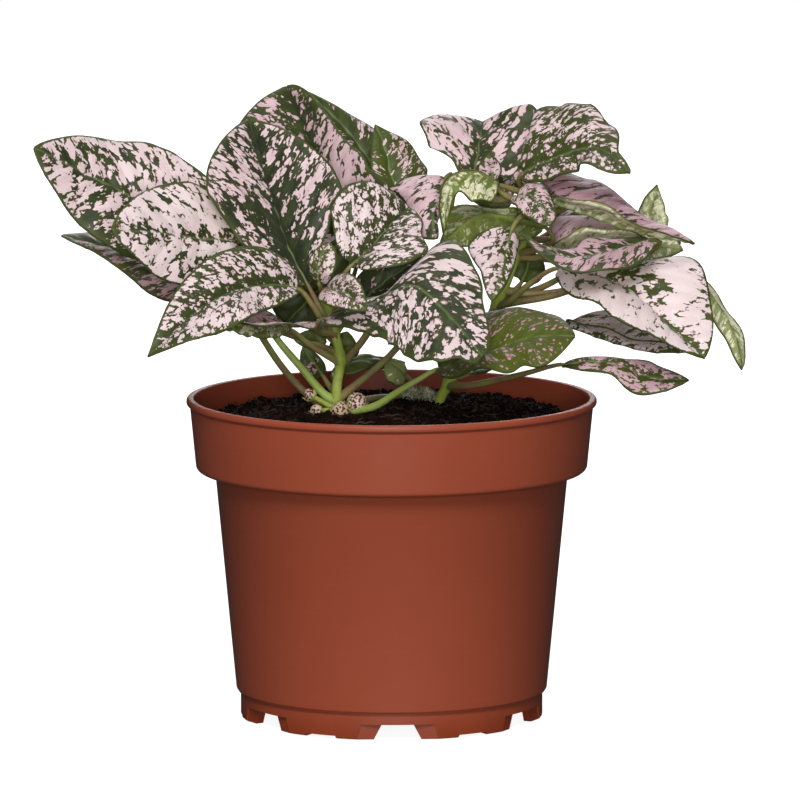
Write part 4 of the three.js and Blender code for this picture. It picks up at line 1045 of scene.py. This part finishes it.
def midrib(leaf):
    return even_points(line_of(leaf), len(leaf.stalk), len(line_of(leaf)) - 1, RIB_STATIONS)


sample = LEAVES["far_left"]
print("length of the far left leaf, mm:", round(float(length_of(midrib(sample))), 1))

# %% Directions along the midrib, and the outline
OUTLINES = {"oval": (0.55, 0.8), "round": (0.5, 0.55), "pointed": (0.6, 1.05), "slim": (0.7, 0.9)}
STEADY_STATION = 18


def unit(vector):
    return vector / np.linalg.norm(vector)


def rib_frames(line, hint):
    """Side and upward directions at every station of a midrib."""
    tangents = [unit(line[min(i + 1, len(line) - 1)] - line[max(i - 1, 0)]) for i in range(len(line))]
    sides = [None] * len(line)
    for order in (range(STEADY_STATION, len(line)), range(STEADY_STATION - 1, -1, -1)):
        for index in order:
            before = index - 1 if index > STEADY_STATION else index + 1
            near = hint if index == STEADY_STATION else sides[before]
            sides[index] = unit(near - tangents[index] * np.dot(near, tangents[index]))
    sides = np.array(sides)
    return sides, np.cross(np.array(tangents), sides)


def widest_share(outline):
    rise, fall = OUTLINES[outline]
    return rise / (rise + fall)


def half_width(outline, share):
    """A leaf's outline: 0 at both ends and 1 at its widest."""
    rise, fall = OUTLINES[outline]
    widest = widest_share(outline)
    share = np.clip(share, 0, 1)
    return (share / widest) ** rise * ((1 - share) / (1 - widest)) ** fall


print("widest share of a pointed leaf:", round(widest_share("pointed"), 2))

# %% Margins of a leaf
MARGIN_FIRST, MARGIN_LAST = 5, 36


def leftwards(leaf):
    """Roughly the direction from the right margin to the left one."""
    left, right = (np.mean([place[:3] for place in places], axis=0) for places in (leaf.left, leaf.right))
    return left - right


def margin_offsets(leaf, line, sides, ups, places):
    """How far a margin lies sideways, upwards and onwards from each station, through the places."""
    knots = []
    for x, y, z, *given in places:
        place = np.array((x, y, z), float)
        gaps = np.linalg.norm(line[MARGIN_FIRST:MARGIN_LAST + 1] - place, axis=1)
        index = MARGIN_FIRST + int(gaps.argmin())
        if given:
            index = round(given[0] * (RIB_STATIONS - 1))
        side, up = sides[index], ups[index]
        onwards = np.cross(side, up) if given else np.zeros(3)
        share = index / (RIB_STATIONS - 1)
        offset = (place - line[index]) / half_width(leaf.outline, share)
        knots.append((share, offset @ side, offset @ up, offset @ onwards))
    knots.sort()
    offsets = []
    for share in np.linspace(0, 1, RIB_STATIONS):
        before = [knot for knot in knots if knot[0] <= share] or knots[:1]
        after = [knot for knot in knots if knot[0] >= share] or knots[-1:]
        low, high = before[-1], after[0]
        blend = (share - low[0]) / (high[0] - low[0]) if high[0] > low[0] else 0
        blend = blend ** 2 * (3 - 2 * blend)
        width = half_width(leaf.outline, share)
        offsets.append([(low[i] + (high[i] - low[i]) * blend) * width for i in (1, 2, 3)])
    return np.array(offsets)


print("from margin to margin of that leaf, mm:", round(float(np.linalg.norm(leftwards(sample))), 1))


# %% [markdown]
# ## The leaf's pattern
# A polka dot leaf is green, and its pink comes from patches of cells that have no green in them.
# The patches have crisp, lobed edges, stretch a little along the side veins, and come in many
# sizes. Where they crowd, thin green lines part them. So the leaf is pink where a cloudy noise
# lies under the leaf's amount of pink, the noise is read partly at the centres of small random
# cells, and it is raised along the borders of larger cells. Close to the midrib, the side veins
# and the margin the amount is lowered, which keeps them green.

# %% What both sides of a leaf share
def attribute(start, name):
    return start.node("Attribute", {"attribute_name": name}, output=1)


def cells(vector, size, output, **settings):
    """Voronoi cells on the leaf: output 0 is a distance, 1 a random colour and 2 a centre."""
    return vector.node("TexVoronoi", {"voronoi_dimensions": "2D", **settings},
                       {"Vector": vector, "Scale": 1 / size}, output)


def cell_values(vector, size):
    """A random number per cell, from 0 to 1."""
    return cells(vector, size, 1).parts()[0]


def cell_borders(vector, size):
    """How far a place is from the border of its cell, as a share of the cell's size."""
    return cells(vector, size, 0, feature="DISTANCE_TO_EDGE")


def leaf_pattern(start):
    """Where a place lies on its leaf, and how deep it is inside a pink patch."""
    leaf = SimpleNamespace()
    leaf.along, leaf.across, leaf.gap = attribute(start, "vein").parts()[:3]
    leaf.edge, leaf.share, grain = attribute(start, "edge").parts()[:3]
    pink, leaf.streak, leaf.mauve = attribute(start, "look").parts()[:3]
    leaf.olive, dotted = attribute(start, "tone").parts()[:2]
    x = (leaf.along + leaf.across.math("ABSOLUTE") * (1 - leaf.streak) * 0.5) / grain
    y = leaf.across * (1 - leaf.streak * 0.6) / grain
    leaf.flat = start.node("CombineXYZ", {}, {0: x, 1: y, 2: 0.0})
    ragged = leaf.flat.noise(1.1, 2, 0.5, output=1)
    leaf.torn = leaf.flat.wobbled(ragged, (0.5, 0.5, 0))
    field = leaf.torn.noise(0.32, 3, 0.6) * 0.62 + cells(leaf.torn, 0.77, 2).noise(0.7, 2) * 0.38
    field = field + cell_borders(leaf.torn, 2.3).hill(0.2) * 0.07
    field = field + cell_borders(leaf.torn, 1.0).hill(0.3) * 0.035
    veins_green = leaf.gap.hill(1.3) * 0.03 + leaf.across.hill(4) * 0.08 + leaf.edge.hill(0.9) * 0.25
    limit = (pink - 0.5) * 0.36 + 0.51 - veins_green + (leaf.flat.noise(0.09, 2) - 0.5) * 0.2
    dots = dotted * cell_values(leaf.torn, 2.8) * 0.5 - 0.07 - cells(leaf.torn, 2.8, 0)
    leaf.depth = (limit - field).math("MAXIMUM", dots * 0.12 - veins_green * 0.3)
    leaf.soft = leaf.flat.noise(0.35, 3, 0.6)
    return leaf


# %% Upper side of the leaves
leaf_material, start, shader = new_material(
    "polka_dot_leaf", IOR=1.42, Specular_IOR_Level=0.38, Subsurface_Weight=0.15,
    Subsurface_Radius=(0.8, 0.5, 0.3), Subsurface_Scale=0.0012, Sheen_Weight=0.06)
leaf = leaf_pattern(start)
is_pink = leaf.depth.step(-0.006, 0.006)
streaky = leaf.flat.stretched(1.1, 0.3, 1).noise(0.8, 3, 0.6).step(0.5, 0.64) * leaf.streak
green = painted(leaf.soft.step(0.35, 0.7).between((38, 46, 29), (57, 66, 35)),
                (leaf.olive * (0.5 + leaf.soft * 0.5), (82, 94, 20)),
                (leaf.edge.hill(3) * 0.5, (80, 92, 36)),
                (leaf.gap.hill(0.35) * 0.3, (96, 116, 66)),
                (leaf.across.hill(0.75) * (1 - leaf.share * 0.5) * 0.85, (118, 138, 80)),
                (leaf.edge.hill(0.35), (66, 76, 30)))
# Some leaves are mauve pink, and on leaves that lie in shade the mauve value also darkens the pink as
# painted shade.
tint = (cell_values(leaf.torn, 2.6) * 0.5 + leaf.soft * 0.3) * (leaf.mauve + 0.6)
pale = painted(tint.between((240, 224, 222), (222, 188, 194)),
               ((leaf.soft.step(0.3, 0.75) * 0.3 + 0.7) * leaf.mauve, (186, 138, 152)),
               (streaky * 0.4, (120, 84, 88)))
colour = painted(is_pink.mix(green, pale), (leaf.depth.hill(0.017) * 0.6, (112, 76, 62)))
fine = leaf.flat.noise(2.2, 3, 0.6)
relief = fine * 0.25 + leaf.soft * 0.4 - leaf.gap.hill(0.5) * 0.5 - leaf.across.hill(0.7) * 0.8
relief = relief + is_pink * 0.12
connect(shader, Base_Color=colour, Roughness=0.38 + fine * 0.22, Normal=relief.bump(0.45, 0.4 * MM))
print("nodes in the leaf's material:", len(leaf_material.node_tree.nodes))


# %% [markdown]
# The underside is the same leaf seen from behind. Its patches lie where the upper side has them,
# but they are cream instead of pink, the green between them is a thin grey green with soft
# borders, and a net of raised green veins lies over both. Some leaves show their underside in
# shade, and there an olive value above 1 paints that shade on as a dark olive.

# %% Underside of the leaves
under_material, start, shader = new_material(
    "pale_leaf_underside", IOR=1.42, Specular_IOR_Level=0.25, Subsurface_Weight=0.15,
    Subsurface_Radius=(0.8, 0.6, 0.3), Subsurface_Scale=0.0012)
leaf = leaf_pattern(start)
net = cell_borders(leaf.flat, 1.6).hill(0.14) * 0.3 + leaf.gap.hill(0.4) * 0.35
net = net + leaf.across.hill(0.8) * 0.6
cream = leaf.soft.step(0.3, 0.7).between((242, 238, 212), (222, 218, 176))
thin_green = (leaf.olive * 0.8).between((160, 166, 118), (112, 126, 52))
# Painted shade: where the olive value is above 1, an underside that lies in shade is darkened to a dark
# olive.
shaded = (leaf.olive - 1) * (1 - leaf.soft.step(0.42, 0.68) * 0.6) * (1 - leaf.edge.hill(3) * 0.3)
colour = painted(leaf.depth.step(-0.035, 0.02).mix(thin_green, cream),
                 (shaded, (84, 88, 38)),
                 (net, (112, 130, 58)),
                 (leaf.edge.hill(0.4), (90, 80, 40)))
connect(shader, Base_Color=colour, Roughness=0.55 + leaf.soft * 0.15, Normal=net.bump(0.5, 0.4 * MM))
print("nodes in the underside's material:", len(under_material.node_tree.nodes))


# %% [markdown]
# ## Leaf blades
# A leaf is a thin sheet, so it starts as a flat grid: across the grid is across the leaf, and
# along it is from base to tip. The points are moved onto the leaf's surface, cupped a little
# and waved at the margins. Then the quilting is added, which bulges up between the side veins
# and sinks along the midrib. A solidify modifier gives it its thinness, with the pale underside
# as a second material.

# %% Rolled margins
def rolled(leaf, share, across, size):
    """How far out and how high each place lies when parts of the margin roll upwards."""
    reach, lift = np.abs(across), np.zeros(len(across))
    outwards = reach.copy()
    for side, first, last, width, turn in leaf.curls:
        middle, half = (first + last) / 2, (last - first) / 2
        window = np.clip(1 - ((share - middle) / half) ** 2, 0, 1) ** 0.6
        window = np.where(across * side > 0, window, 0)
        strip, angle = width * window + 0.001, math.radians(turn) * window + 0.001
        radius = strip / angle
        fold = 1 - radius * np.where(angle > np.pi / 2, 1, np.sin(angle)) / size
        beyond = np.clip((reach - fold) / (1 - fold), 0, 1) * angle
        bent = (reach > fold) & (window > 0)
        outwards = np.where(bent, fold + radius * np.sin(beyond) / size, outwards)
        lift = np.where(bent, radius * (1 - np.cos(beyond)), lift)
    return outwards, lift


print("leaves with a rolled margin:", sum(bool(leaf.curls) for leaf in LEAVES.values()))

# %% The surface of one blade
WAVE_HEIGHT = 0.8
WAVED_WIDTH = 9
WAVE_COUNT = 2.5
WAVE_LAG = 1.7


def blade_surface(leaf, share, across):
    """Places for shares of the midrib (0 to 1) and places across (-1 to 1), how far along and across
    each lies on the leaf, the half width there, and the midrib's length, all in mm."""
    line = midrib(leaf)
    sides, ups = rib_frames(line, leftwards(leaf))
    left = margin_offsets(leaf, line, sides, ups, leaf.left)
    right = margin_offsets(leaf, line, sides, ups, leaf.right)
    stations = np.linspace(0, 1, RIB_STATIONS)

    def along(table):
        return np.stack([np.interp(share, stations, table[:, i]) for i in range(table.shape[1])], axis=1)

    point, side, up = along(line), along(sides), along(ups)
    side /= np.linalg.norm(side, axis=1, keepdims=True)
    up /= np.linalg.norm(up, axis=1, keepdims=True)
    is_left = across < 0
    margin = np.where(is_left[:, None], along(left), along(right))
    reach = np.abs(across)
    size = np.maximum(np.hypot(margin[:, 0], margin[:, 1]), 0.001)
    lean = np.where(is_left, 1, -1)
    bow = leaf.cup * size * 4 * (reach - reach ** 2)
    calm = np.sin(np.pi * share) ** 0.6 * reach ** 1.6
    wave = WAVE_HEIGHT * np.minimum(1, size / WAVED_WIDTH) * calm
    wave = wave * np.sin(2 * np.pi * WAVE_COUNT * share + np.where(is_left, 0, WAVE_LAG))
    outwards, lift = rolled(leaf, share, across, size)
    lift = (lift + bow + wave) / size
    sideways = margin[:, 0] * outwards - lift * margin[:, 1] * lean
    upwards = margin[:, 1] * outwards + lift * margin[:, 0] * lean
    onwards = margin[:, 2] * outwards
    place = point + side * sideways[:, None] + up * upwards[:, None]
    place += np.cross(side, up) * onwards[:, None]
    length = length_of(line)
    return place, share * length + onwards, across * size, size, length


_, _, _, size, _ = blade_surface(sample, np.array([0.5]), np.array([1.0]))
print("half width of that leaf halfway, mm:", round(float(size[0]), 1))

# %% Reading and writing a mesh's points
def set_attribute(mesh, name, *columns):
    """Three values for every point of a mesh; a single number is the same for all of them."""
    columns = np.broadcast_arrays(*columns, np.zeros(len(mesh.vertices)))[:3]
    attribute = mesh.attributes.new(name, "FLOAT_VECTOR", "POINT")
    attribute.data.foreach_set("vector", np.stack(columns, axis=1).astype(np.float32).ravel())


def coordinates(mesh, kind="co"):
    values = np.empty(3 * len(mesh.vertices), np.float32)
    mesh.vertices.foreach_get(kind, values)
    return values.reshape(-1, 3).astype(float)


def set_coordinates(mesh, places):
    mesh.vertices.foreach_set("co", places.astype(np.float32).ravel())


print("points of the pot:", len(coordinates(pot.data)))

# %% Quilting and veins
VEIN_SPACING = 6.5
VEIN_LEAN = 0.8
VEIN_CURVE = 0.012
SIDE_SHIFT = 0.37
QUILT_HEIGHT, QUILT_VALLEY = 0.5, 1.5
MIDRIB_DEPTH, MIDRIB_WIDTH = 0.5, 0.9
LUMP_HEIGHT, LUMP_WIDTH = 0.35, 5
RIDGE_WIDTH = 0.7
VEIN_RIDGE_HEIGHT, VEIN_RIDGE_WIDTH = 0.12, 0.35


def bell(distance, width):
    """1 at no distance, falling smoothly to 0 beyond the width."""
    return np.exp(-(distance / width) ** 2)


def near_vein(along, across):
    """A place's distance along the side veins' pattern, and how far it is from a vein, in mm."""
    bent = along - VEIN_LEAN * np.abs(across) - VEIN_CURVE * across ** 2
    turns = bent / VEIN_SPACING + np.where(across < 0, 0, SIDE_SHIFT)
    return bent, np.abs(turns - np.round(turns)) * VEIN_SPACING


def quilting(share, across, offset, gap, places):
    """How far the blade bulges up between its veins and sinks along its midrib, in mm."""
    calm = (1 - np.abs(across) ** 3) * np.sin(np.pi * np.clip(share, 0, 1)) ** 0.5
    quilt = QUILT_HEIGHT * calm * (1 - bell(gap, QUILT_VALLEY))
    quilt = quilt - MIDRIB_DEPTH * (1 - share) * bell(offset, MIDRIB_WIDTH)
    lumps = np.array([noise.noise(Vector(place) / LUMP_WIDTH) for place in places])
    return quilt + LUMP_HEIGHT * calm * lumps


def ridges_below(share, offset, gap):
    """How far the midrib and the side veins stand out on the underside, in mm."""
    midrib_ridge = (0.15 + 0.5 * (1 - share)) * bell(offset, RIDGE_WIDTH)
    return midrib_ridge + VEIN_RIDGE_HEIGHT * bell(gap, VEIN_RIDGE_WIDTH)


halfway = QUILT_HEIGHT * (1 - bell(VEIN_SPACING / 2, QUILT_VALLEY))
print("quilting halfway between two veins, mm:", round(float(halfway), 2))

# %% Amount of pink
def pink_amount(leaf, share, across):
    pink = np.full(len(share), leaf.look[0])
    for spot_share, spot_across, spread, change in leaf.spots:
        far = ((share - spot_share) * 1.6) ** 2 + (across - spot_across) ** 2
        pink += change * np.exp(-far / spread ** 2)
    return pink


sample_pink = pink_amount(sample, np.array([0.3, 0.6]), np.array([0.0, -0.9]))
print("pink inside the far left leaf and at its margin:", sample_pink.round(2))

# %% Make one blade
CELL = 0.8
CURLED_CELL = 0.5
STALK_GAP = 0.65
TIP_SHARE = 0.995
BLADE_THICKNESS = 0.42
WIDE_SHARE = 0.45
MIDRIB_CROWDING = 1.25
NOTCH_REACH = 5
NOTCH_SHARE = 0.02
RIGHT_SEED = 7
PATTERN_SHIFT = 8 * VEIN_SPACING


def make_blade(index, name, leaf):
    both_sides = np.array([-1.0, 1.0])
    _, _, _, widest, length = blade_surface(leaf, np.array([WIDE_SHARE, WIDE_SHARE]), both_sides)
    deselect()
    cell = CURLED_CELL if leaf.curls else CELL
    bpy.ops.mesh.primitive_grid_add(size=1, x_subdivisions=2 * math.ceil(widest.mean() / cell),
                                    y_subdivisions=math.ceil(length / cell))
    piece = rename(name + "_blade")
    mesh = piece.data
    flat = coordinates(mesh)
    across = np.sign(flat[:, 0]) * np.abs(2 * flat[:, 0]) ** MIDRIB_CROWDING
    share = STALK_GAP / length + (flat[:, 1] + 0.5) * (TIP_SHARE - STALK_GAP / length)
    ragged = np.array([noise.noise(Vector((s * length / NOTCH_REACH, index + RIGHT_SEED * (a > 0), 0)))
                       for s, a in zip(share, across)])
    notched = across * (1 + NOTCH_SHARE * ragged * np.abs(across) ** 3)
    places, along, offset, size, _ = blade_surface(leaf, share, notched)
    set_coordinates(mesh, places * MM)
    mesh.update()
    bent, gap = near_vein(along, offset)
    quilt = quilting(share, across, offset, gap, places) * leaf.quilted
    set_coordinates(mesh, coordinates(mesh) + coordinates(mesh, "normal") * quilt[:, None] * MM)

    _, streak, mauve, grain, olive = leaf.look
    edge = size * (1 - np.abs(across)) * np.minimum(1, 8 * (1 - share) + 0.1)
    set_attribute(mesh, "vein", bent + index * PATTERN_SHIFT, offset, gap)
    set_attribute(mesh, "edge", edge, share, grain)
    set_attribute(mesh, "look", pink_amount(leaf, share, across), streak, mauve)
    set_attribute(mesh, "tone", olive, leaf.dotted)

    count = len(mesh.vertices)
    upper, lower = leaf_material, leaf_material if leaf.both_patterned else under_material
    dress(piece, "leaf", *((lower, upper) if leaf.turned_over else (upper, lower)))
    apply_modifier(piece, "SOLIDIFY", thickness=BLADE_THICKNESS * MM, offset=0, material_offset=1)
    lowered, normals = coordinates(piece.data), coordinates(piece.data, "normal")
    lowered[count:] += normals[count:] * ridges_below(share, offset, gap)[:, None] * MM
    set_coordinates(piece.data, lowered)
    bpy.ops.object.shade_smooth()
    return piece


print("blade thickness, mm:", BLADE_THICKNESS)

# %% Make all the blades
faces = 0
for index, (name, leaf) in enumerate(LEAVES.items()):
    blade = make_blade(index, name, leaf)
    if "leaf_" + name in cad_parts:
        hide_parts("leaf_" + name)
    faces += len(blade.data.polygons)
print("blades:", len(LEAVES), "faces:", faces)


# %% [markdown]
# ## Stems and stalks
# A stem is a soft tube that swells where leaf stalks grow from it, and a stalk is a thinner tube
# that tapers towards its leaf and runs on under the midrib. A curve with a round section suits
# both: every point of it has its own radius. Turned into a mesh, it takes the place of the CAD
# stem with its stalks.

# %% Stems with swollen nodes
STEM_POINTS = 90
STEM_TAPER = 0.15
NODE_SWELLING = 1.05
NODE_LENGTH = 1.8
STEMS = {
    "left": {
        "radius": 1.6,
        "path": [(-16, 0, 80), (-16, 0, 90), (-16, 0, 97), (-15, 0, 105), (-17, -2, 115), (-19, -5, 123)],
        "nodes": [(-15, 0, 105, 2.1), (-17, -2, 115, 1.9), (-19, -5, 123, 1.9)],
        "buds": [(-24, -2, 95, 1.7), (-22, -4, 90.5, 1.8), (-10, -2, 92.7, 2.8), (-15, -5, 90.8, 2.6)],
    },
    "right": {
        "radius": 1.5,
        "path": [(14, 16, 80), (14, 16, 90), (17, 15, 96), (23, 13, 106), (31, 10, 120), (37, 10, 135),
                 (42, 10, 146), (44, 8, 155)],
        "nodes": [(17, 15, 96, 2.2), (31, 10, 120, 2.1), (37, 10, 135, 1.9), (43, 9, 151, 1.9)],
        "buds": [],
    },
}


def stem_line(stem):
    path = np.array(stem["path"], float)
    points = even_points(path, 0, len(path) - 1, STEM_POINTS)
    line = []
    for index, place in enumerate(points):
        radius = stem["radius"] * (1 - STEM_TAPER * index / len(points))
        for x, y, z, swollen in stem["nodes"]:
            far = np.linalg.norm(place - (x, y, z))
            radius += max(0, swollen * NODE_SWELLING - stem["radius"]) * bell(far, NODE_LENGTH)
        line.append((place, radius))
    return line


print("points of a stem:", len(stem_line(STEMS["left"])))

# %% Stalks that run on under the midrib
STALK_POINTS = 26
STALK_FOOT_RADIUS = 1.1
STALK_END_RADIUS = 0.6
STALK_COLLAR = 0.35
COLLAR_STEEPNESS = 12
FRESH_STALKS = ("far_left_lower", "front_right")
FRESH_STALK_RADIUS = 1.25
UNDER_MIDRIB = np.linspace(0.03, 0.35, 9)
UNDER_DEPTH = 0.45
UNDER_TAPER = 0.08


def stalk_line(name, leaf):
    foot = FRESH_STALK_RADIUS if name in FRESH_STALKS else STALK_FOOT_RADIUS
    points = even_points(line_of(leaf), 0, len(leaf.stalk), STALK_POINTS)
    line = []
    for index, place in enumerate(points):
        share = index / (len(points) - 1)
        collar = STALK_COLLAR * math.exp(-(share * COLLAR_STEEPNESS) ** 2)
        line.append((place, foot + (STALK_END_RADIUS - foot) * share ** 2 + collar))
    under = blade_surface(leaf, UNDER_MIDRIB, np.zeros(len(UNDER_MIDRIB)))[0]
    _, ups = rib_frames(midrib(leaf), leftwards(leaf))
    for index, place in enumerate(under):
        up = ups[round(UNDER_MIDRIB[index] * (RIB_STATIONS - 1))]
        line.append((place - up * UNDER_DEPTH, STALK_END_RADIUS * (1 - UNDER_TAPER * index)))
    return line


print("points of a stalk:", len(stalk_line("far_left", sample)))

# %% Round tubes along the stems and stalks
def tubes(name, lines):
    """One mesh of round tubes, each given as a list of (place in mm, radius in mm)."""
    deselect()
    bpy.ops.curve.primitive_bezier_curve_add(location=(0, 0, 0))
    piece = rename(name)
    curve = piece.data
    curve.splines.clear()
    curve.dimensions = "3D"
    curve.bevel_depth = MM
    curve.bevel_resolution = 2
    curve.use_fill_caps = True
    for line in lines:
        spline = curve.splines.new("POLY")
        spline.points.add(len(line) - 1)
        for point, (place, radius) in zip(spline.points, line):
            point.co = (*(np.array(place) * MM), 1)
            point.radius = radius
    bpy.ops.object.convert(target="MESH")
    bpy.ops.object.shade_smooth()
    return bpy.context.object


stem_pieces = {}
for name, stem in STEMS.items():
    stem_pieces[name] = tubes(name + "_stem", [stem_line(stem)])
    lines = {leaf_name: stalk_line(leaf_name, leaf) for leaf_name, leaf in LEAVES.items()
             if leaf.stem == name}
    fresh = [lines.pop(leaf_name) for leaf_name in FRESH_STALKS if leaf_name in lines]
    stem_pieces[name + "_stalks"] = tubes(name + "_leaf_stalks", list(lines.values()))
    if fresh:
        stem_pieces[name + "_fresh"] = tubes(name + "_fresh_stalks", fresh)
print("stem pieces:", {name: len(piece.data.polygons) for name, piece in stem_pieces.items()})

# %% Finish of stems and stalks
def stem_material(name, first, second, speckle):
    """A soft green skin with faint lengthwise fibres and a flush of colour in patches."""
    material, start, shader = new_material(name, IOR=1.42, Specular_IOR_Level=0.35,
                                           Subsurface_Weight=0.12, Subsurface_Scale=0.001)
    place = object_place(start)
    patches = place.noise(120, 3, 0.6)
    fibres = place.stretched(1, 1, 0.12).noise(1500, 2, 0.5)
    specks = place.noise(900, 2).step(0.62, 0.7) * 0.6
    colour = painted(patches.step(0.35, 0.7).between(first, second), (specks, speckle))
    connect(shader, Base_Color=colour, Roughness=0.42 + fibres * 0.2, Normal=fibres.bump(0.3, 0.2 * MM))
    return material


stem_skin = stem_material("green_stem", (150, 168, 62), (172, 184, 96), (124, 124, 58))
stalk_skin = stem_material("leaf_stalk", (132, 132, 76), (136, 108, 78), (104, 74, 58))
fresh_skin = stem_material("fresh_stalk", (154, 176, 84), (172, 188, 108), (128, 148, 70))
skins = {"stalks": stalk_skin, "fresh": fresh_skin}
for name, piece in stem_pieces.items():
    dress(piece, "stem", skins.get(name.split("_")[-1], stem_skin))
for name in STEMS:
    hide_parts("stem_" + name)
print("stems dressed:", len(stem_pieces))


# %% [markdown]
# Small round buds sit at the foot of the left shoot, pale and sprinkled with dark red. A bud is a
# sphere with three shallow folds that wind up to its tip. One bud is modelled, and copies of it
# are turned, scaled and moved, each with a mesh of its own. Four thin bracts stand round each.

# %% Model of a bud
BUD_FOLDS = 3

deselect()
bpy.ops.mesh.primitive_uv_sphere_add(segments=20, ring_count=14, radius=1)
model_bud = rename("model_bud")
for vertex in model_bud.data.vertices:
    height = (vertex.co.z + 1) / 2
    slimmer = 1.1 - 0.3 * height ** 3
    around = math.atan2(vertex.co.y, vertex.co.x)
    fold = 1 + 0.1 * math.sin(BUD_FOLDS * around + 4 * height) * height
    vertex.co = Vector((vertex.co.x * slimmer * fold, vertex.co.y * slimmer * fold, vertex.co.z * 1.05))
bpy.ops.object.shade_smooth()
print("points of a bud:", len(model_bud.data.vertices))

# %% Speckled finish of the buds
bud_material, start, shader = new_material("speckled_bud", Specular_IOR_Level=0.3, Roughness=0.5)
place = object_place(start)
wavy = place.wobbled(place.noise(900, 2, output=1), (0.6 * MM, 0.6 * MM, 0.6 * MM))
dots = place.node("TexVoronoi", {}, {"Vector": wavy, "Scale": 1250})
colour = painted(place.noise(350, 2).step(0.4, 0.65).between((226, 202, 188), (196, 178, 140)),
                 (1 - dots.step(0.4, 0.5), (96, 44, 44)))
connect(shader, Base_Color=colour, Roughness=0.45 + dots * 0.2)
print("material:", bud_material.name)

# %% Buds with their twigs and bracts
SHOOT_FOOT = Vector((-16, 0, 90))
BUD_RISE = 9
BRACTS = 4
BRACT_TURN = 1.6

twigs = []
for number, (*place, radius) in enumerate(STEMS["left"]["buds"], 1):
    bud = copy_of(model_bud, f"shoot_bud_{number}")
    place = Vector(place)
    outwards = Vector((place.x - SHOOT_FOOT.x, place.y - SHOOT_FOOT.y, BUD_RISE)).normalized()
    turn = outwards.to_track_quat("Z", "Y").to_matrix().to_4x4()
    bud.data.transform(Matrix.Translation(place * MM) @ turn @ Matrix.Scale(radius * MM, 4))
    dress(bud, "stem", bud_material)
    twigs.append([(SHOOT_FOOT, 0.9), (place, 0.7)])
    for bract in range(BRACTS):
        turn = Matrix.Rotation(bract * BRACT_TURN + number, 3, outwards)
        around = turn @ outwards.orthogonal().normalized()
        foot = place - outwards * radius * 1.1
        middle = foot + around * radius * 0.9 + outwards * radius * 0.5
        tip = foot + around * radius * 1.3 + outwards * radius * 1.5
        twigs.append([(foot, 0.5), (middle, 0.45), (tip, 0.1)])
bpy.data.objects.remove(model_bud)
dress(tubes("bud_twigs", twigs), "stem", stem_skin)
print("buds:", len(STEMS["left"]["buds"]))


# %% [markdown] ## Finish
